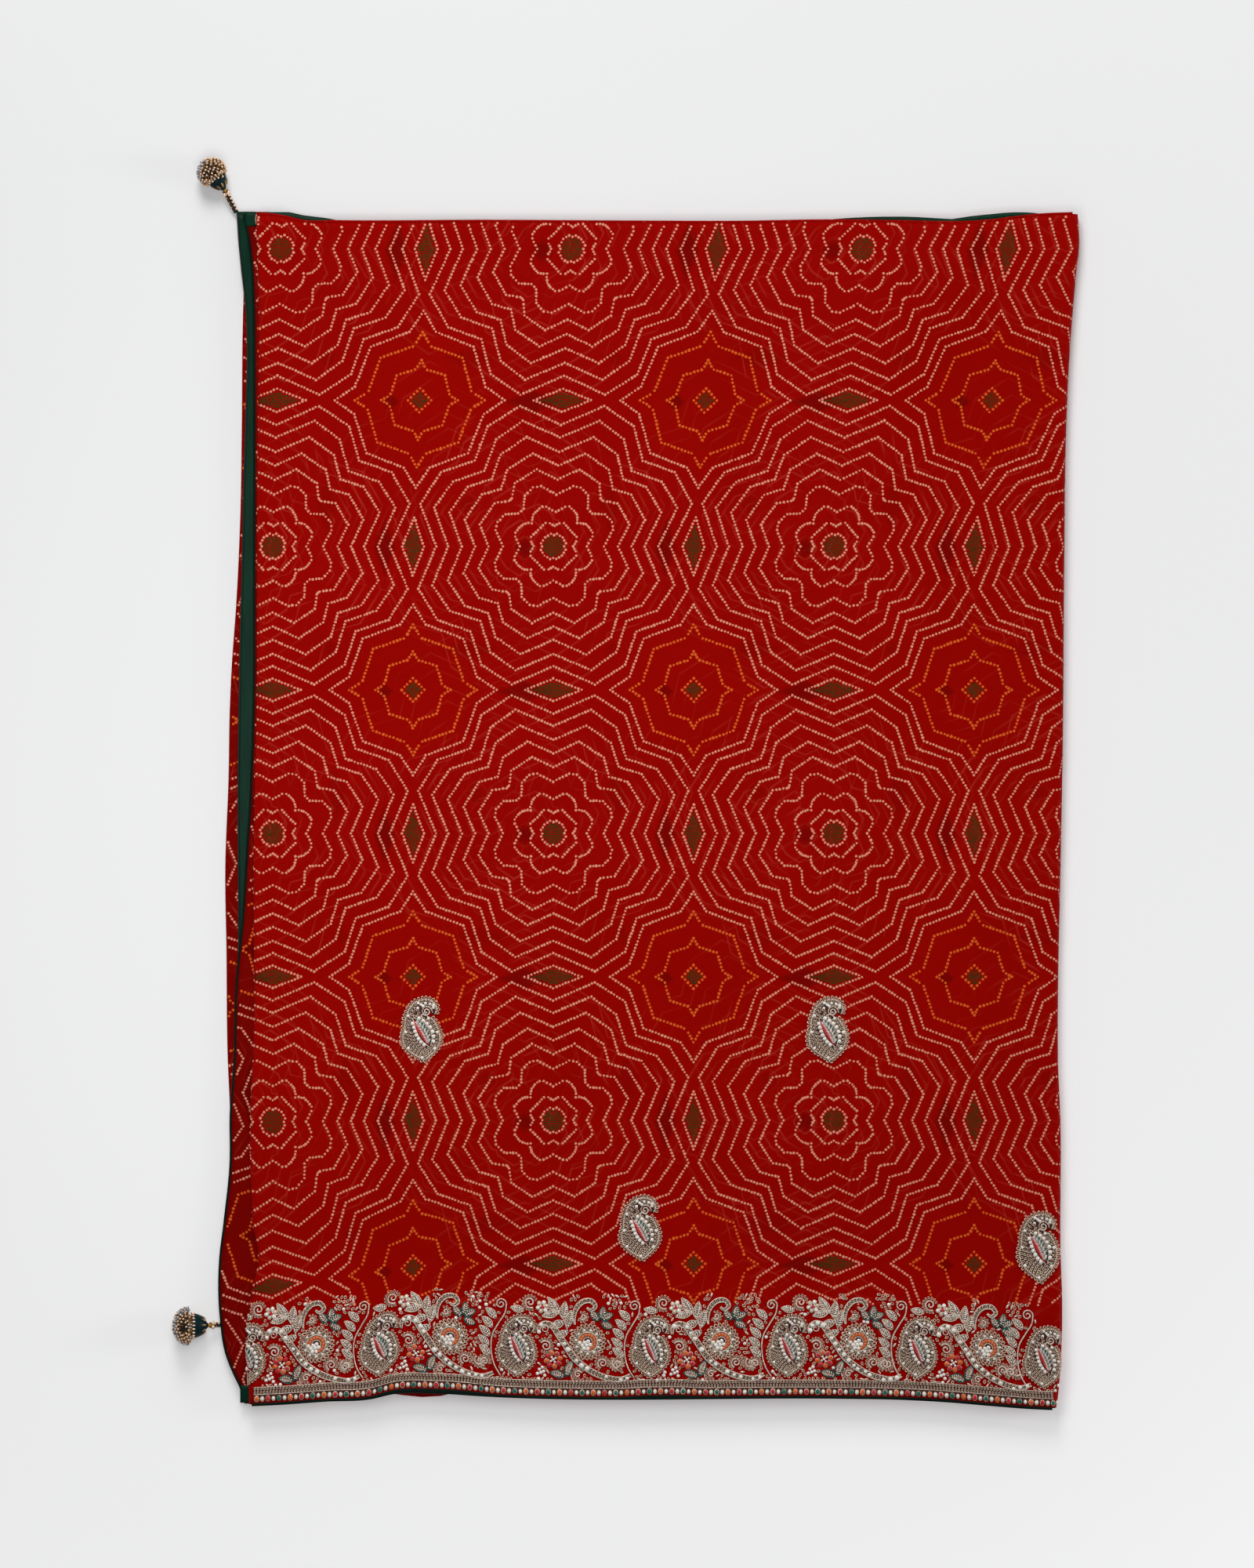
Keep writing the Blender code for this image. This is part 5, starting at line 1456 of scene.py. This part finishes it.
def tassel(name, root_x, root_y, neck_x, neck_y, heading, size, radius, depth, middle, open_to):
    """A tassel: two short cords, two beads, a satin cup with a calyx, and loops of seed beads.

    Its own place is (along, aside, up) from the cup's narrow end, squashed upwards.
    """
    turn, lean = math.radians(heading), math.sin(TASSEL_TILT)
    along = np.array((*(math.cos(TASSEL_TILT) * ray(turn)), lean))
    aside = np.array((-math.sin(turn), math.cos(turn), 0.0))
    axes = np.stack((along, aside, np.cross(along, aside) * TASSEL_SQUASH))
    head_z = size * TASSEL_SQUASH + GAP - TASSEL_SETTLE
    cup = np.array((neck_x, neck_y, head_z - CUP_LENGTH * lean))
    root = np.array((root_x, root_y, float(level_height(LEVEL_END_C, root_x, root_y))))

    def made(part, slot, stuffs, parts):
        """Make the piece that stands for one of the tassel's solids."""
        points, faces, slots = joined(parts)
        points[:, 2] = np.maximum(points[:, 2], 0.05)
        stand_for(make_piece(f"{name}_{part}", points, faces, stuffs, slots), slot,
                  f"tassel_{name.split('_')[0]}_{part}")

    # Cup, and a calyx of nine gold petals round an amber bead
    rim = size * CUP_RADIUS_SHARE
    profile = np.array(((-0.6, 0.0), (-0.4, 1.6), (0.2, 2.4), (1.2, 3.2), (2.6, 0.54 * rim),
                        (4.6, 0.73 * rim), (6.8, 0.88 * rim), (9.2, 0.98 * rim),
                        (11.6, 1.05 * rim), (13.4, 1.06 * rim), (14.3, 1.0 * rim), (13.8, 0.0)))
    points, faces = turned(profile)
    made("cup", "green_satin", [CUP_SATIN], [(points @ axes + cup, faces, 0)])
    trim = []
    for angle in clock(PETALS) + 0.35:
        out = np.array((0.0, *ray(angle)))
        slope = out * 0.56 + (0.83, 0.0, 0.0)
        petal = GRAIN[0] * (3.2, 1.0, 0.9) @ np.stack((slope, np.cross(out, slope), out))
        trim.append(((petal + out * 0.68 * rim + (4.0, 0.0, 0.0)) @ axes + cup, GRAIN[1], 0))
    trim.append(((BEAD[0] * 2.1 + (-1.6, 0, 0)) @ axes + cup, BEAD[1], 2))

    # Neck: a pair of round beads, then two cords strung with small beads
    reach = np.linalg.norm(root - cup)
    back = (root - cup) / reach
    across = np.cross(back, (0.0, 0.0, 1.0))
    for way, bead, step, stuff in ((-1.0, 1.35, 3.6, 3), (1.0, 0.9, 4.8, 0)):
        trim.append((BEAD[0] * 2.2 + cup + back * 5.0 + across * way * 2.0, BEAD[1], 3))
        t = np.linspace(0.0, 1.0, 12)[:, None]
        path = cup + back * (1.5 + (reach - 0.5) * t) + across * way * (1.4 - 0.4 * t)
        trim.append((*sweep(path, 1.3, 6), 4))
        for at in np.arange(8.0 + 0.8 * way, reach - 0.5, step):
            trim.append((BEAD[0] * bead + cup + back * at + across * way * 1.7
                         + (0.0, 0.0, 0.9), BEAD[1], stuff))
    made("neck", "gold_beads", TASSEL_STUFFS, trim)

    # Head: loops of seed beads all over a dome, silver ones at its rim
    index = np.arange(STRINGS) + 0.5
    polar = np.arccos(1.0 - index / STRINGS * (1.0 - math.cos(open_to)))
    normal = np.column_stack((np.cos(polar), np.sin(polar)[:, None] * ray(index * GOLDEN_TURN)))
    reach = radius - 2.8
    start = CUP_LENGTH + middle
    flat = normal * (depth, reach, reach) + (start, 0.0, 0.0)
    normal = unit(normal + RANDOM.normal(0.0, 0.25, normal.shape))
    other = unit(np.cross(normal, RANDOM.normal(0.0, 1.0, normal.shape)))
    size = RANDOM.uniform(0.8, 1.2, (STRINGS, 1)) * (3.0, 1.9, 1.7)
    # The near tassel lies open, and its core, coloured near black as painted shade, shows between
    # its strings from above
    forward, sideways = (flat[:, 0] - start) / depth, flat[:, 1] / reach
    strung = (np.hypot(forward - 0.42, sideways) > HOLLOW_SHARE[name]) | (flat[:, 2] < 0.0)
    silver = ((RANDOM.random(STRINGS) < 0.75) & (np.hypot(forward, sideways) > 0.87)
              & (flat[:, 0] > start - 3.0) & (flat[:, 1] * SILVER_SIDE[name] > -0.1))
    parts = []
    for chosen, loop, bead in ((~silver & strung, 0, 3), (silver & strung, 1, 1)):
        spots, ahead, beyond = flat[chosen], normal[chosen], other[chosen]
        parts.append((*aimed(STRING_LOOP, spots, ahead, beyond, size[chosen]), loop))
        parts.append((*aimed(BEAD_SMALL, spots + ahead * 2.3, ahead, beyond, (1.0, 1.0, 1.0)),
                      bead))
    for shape, count, at, forward, out_by, up_to, fit, stuff in (
            (STRING_LOOP, 20, 0.5, 0.35, 0.8 * rim, 1.4, (3.4, 1.8, 1.6), 0),
            (BEAD_SMALL, 22, 0.0, 0.0, 1.06 * rim + 0.6, 1.2, (1.7, 1.0, 1.0), 3)):
        out = np.column_stack((np.full(count, forward), ray(clock(count, at))))
        ahead = np.broadcast_to((1.0, 0.0, 0.0), out.shape)
        parts.append((*aimed(shape, out * out_by + (CUP_LENGTH + up_to, 0.0, 0.0), ahead, out,
                             fit), stuff))
    # A near-black core under the strings: painted shade in the gaps between them
    core = ray(np.linspace(open_to, 0.0, 14)) * (depth - 1.2, reach - 1.2) + (start, 0.0)
    core[0, 1] = 0.0
    parts.append((*turned(core, 24), 5))
    made("head", "gold_beads", TASSEL_STUFFS,
         [(points @ axes + cup, faces, stuff) for points, faces, stuff in parts])


def studio():
    """A pale floor, lights beyond the far edge, at the right and overhead, and a soft surround.

    The floor's own glow rises with distance and towards the near edge, as the light falls
    off there: a + b x - c y + d (x^2 + y^2).
    """
    mesh = bpy.data.meshes.new("studio_floor")
    reach = 6.0
    mesh.from_pydata([(-reach, -reach, 0), (reach, -reach, 0), (reach, reach, 0),
                      (-reach, reach, 0)], [], [(0, 1, 2, 3)])
    floor = bpy.data.objects.new("studio_floor", mesh)
    bpy.context.scene.collection.objects.link(floor)
    material, tree, shader = new_material(
        "studio_paper", roughness=0.9, base_color=hex_colour("F0F0F0"), specular_ior_level=0.0,
        emission_color=(1.0, 1.0, 1.0, 1.0))
    place = add_node(tree, "TexCoord", {}, "Object")
    x, y = add_node(tree, "SeparateXYZ", {0: place}).node.outputs[:2]
    far_off = maths(tree, "MULTIPLY_ADD", x, x, maths(tree, "MULTIPLY", y, y))
    glow = maths(tree, "MULTIPLY_ADD", far_off, 0.130, 0.133)
    glow = maths(tree, "MULTIPLY_ADD", x, 0.056, glow)
    glow = maths(tree, "MULTIPLY_ADD", y, -0.180, glow)
    glow = maths(tree, "MINIMUM", maths(tree, "MAXIMUM", glow, 0.0), 0.5)
    set_inputs(tree, shader, {"Emission Strength": glow})
    mesh.materials.append(material)

    for name, energy, size, at, turn in (
            ("key_light", 44.0, 1.2, (-0.35, 2.4, 1.8), (-0.919, -0.192, 0.0)),
            ("side_light", 17.0, 0.8, (2.9, 0.1, 0.9), (-0.033, 1.27, 0.0)),
            ("overhead_light", 3.7, 0.6, (-0.26, 0.0, 1.05), (-0.02, -0.165, 0.0))):
        data = bpy.data.lights.new(name, "AREA")
        data.energy = energy
        data.size = size
        lamp = bpy.data.objects.new(name, data)
        lamp.location = at
        lamp.rotation_euler = turn
        bpy.context.scene.collection.objects.link(lamp)

    world = bpy.data.worlds.new("studio")
    world.use_nodes = True
    tree = world.node_tree
    way = add_node(tree, "TexCoord", {}, "Generated")
    height = add_node(tree, "SeparateXYZ", {0: way}, 2)
    set_inputs(tree, tree.nodes["Background"], {
        0: (0.96, 0.97, 1.0, 1.0), 1: ramp(tree, height, 0.3, 0.95, 0.30, 0.20, "SMOOTHSTEP")})
    bpy.context.scene.world = world
    bpy.context.scene.view_settings.view_transform = "Standard"


def camera():
    """A long lens straight above, 0.738 mm of cloth to each of the photo's pixels."""
    lens, film, frame_height = 85.0, 36.0, 2000 * 0.738
    data = bpy.data.cameras.new("overhead")
    data.sensor_fit = "VERTICAL"
    data.sensor_height = film
    data.lens = lens
    data.clip_end = 50.0
    overhead = bpy.data.objects.new("overhead", data)
    cloth_top = 14.0
    overhead.location = (0.0, 0.0, (frame_height * lens / film + cloth_top) * MM)
    bpy.context.scene.collection.objects.link(overhead)
    bpy.context.scene.camera = overhead


GEORGETTE = georgette("silk_georgette_red", "A80702", "960300")
# Darker red for the strips that step out at the left: painted shade, and on free end B also the
# green facing under it showing through
SHADED_GEORGETTE = georgette("silk_georgette_red_painted_shade", "8A0804", "760300")
DOT_STUFFS = [dyed_dots("undyed_silk_dots", "BC4632", "F2A68A"),
              dyed_dots("orange_dyed_dots", "B02C06", "EA6824"),
              dyed_dots("olive_dyed_dots", "440C02", "3A3A08")]
SATIN = satin("satin_bottle_green", "021B12", "083C29", 0.46)
PIPING = satin("satin_piping_dark_green", "020F0A", "061D14", 0.6)
THREADS = [  # in the order of the names below
    wire_metal("coiled_silver_wire", "FFE3C6", 0.24, 0.25),
    # Dark red padding, darker than the cloth: real padding, and painted shade in the gaps between
    # the loops
    speckled("red_padding_painted_shade", "480804", roughness=0.7),
    wire_metal("smooth_rose_silver_cord", "FFE6D2", 0.26, 0.15, 900.0, 0.15),
    speckled("silver_sequin", "FFF8EE", roughness=0.22, metallic=0.08),
    speckled("teal_silk_floss", "0E5C58", roughness=0.4),
    speckled("scarlet_silk_floss", "D01A1E", roughness=0.45),
    speckled("orange_silk_floss", "DE5F14", roughness=0.45),
    speckled("peach_silk_floss", "E89468", roughness=0.45),
    speckled("amber_glass", "E8641A", roughness=0.12),
    speckled("ruby_glass", "CE1C2A", roughness=0.12),
    speckled("emerald_glass", "0B6A58", roughness=0.12)]
TASSEL_STUFFS = [
    wire_metal("gold_seed_beads", "CC9856", 0.2, 0.4),
    speckled("clear_silver_beads", "BEBCC0", roughness=0.12, metallic=0.55),
    speckled("amber_bead", "C07A10", roughness=0.15),
    # Pale rose gold, made bright to stand for the beads' sparkle: partly painted glint
    speckled("rose_gold_bead_painted_glint", "FFDCBE", roughness=0.18, metallic=0.35),
    speckled("dark_brown_cord", "22150B", roughness=0.6),
    # near black: painted shade between the head's strings
    speckled("tassel_core_painted_shade", "160C06", roughness=0.8)]
CUP_SATIN = satin("teal_satin_cup", "061B1E", "0A2D32", 0.38)
WIRE, SHADED_PADDING, RAIL, BRIGHT, TEAL, SCARLET, ORANGE, PEACH, AMBER, RUBY, EMERALD = range(11)

camera()
studio()
underside()
left_layers()
facing()
facing_trims()
inner_layers()
top_stretch()
hem_cords()
embroidery()
for row in TASSELS:
    tassel(*row)
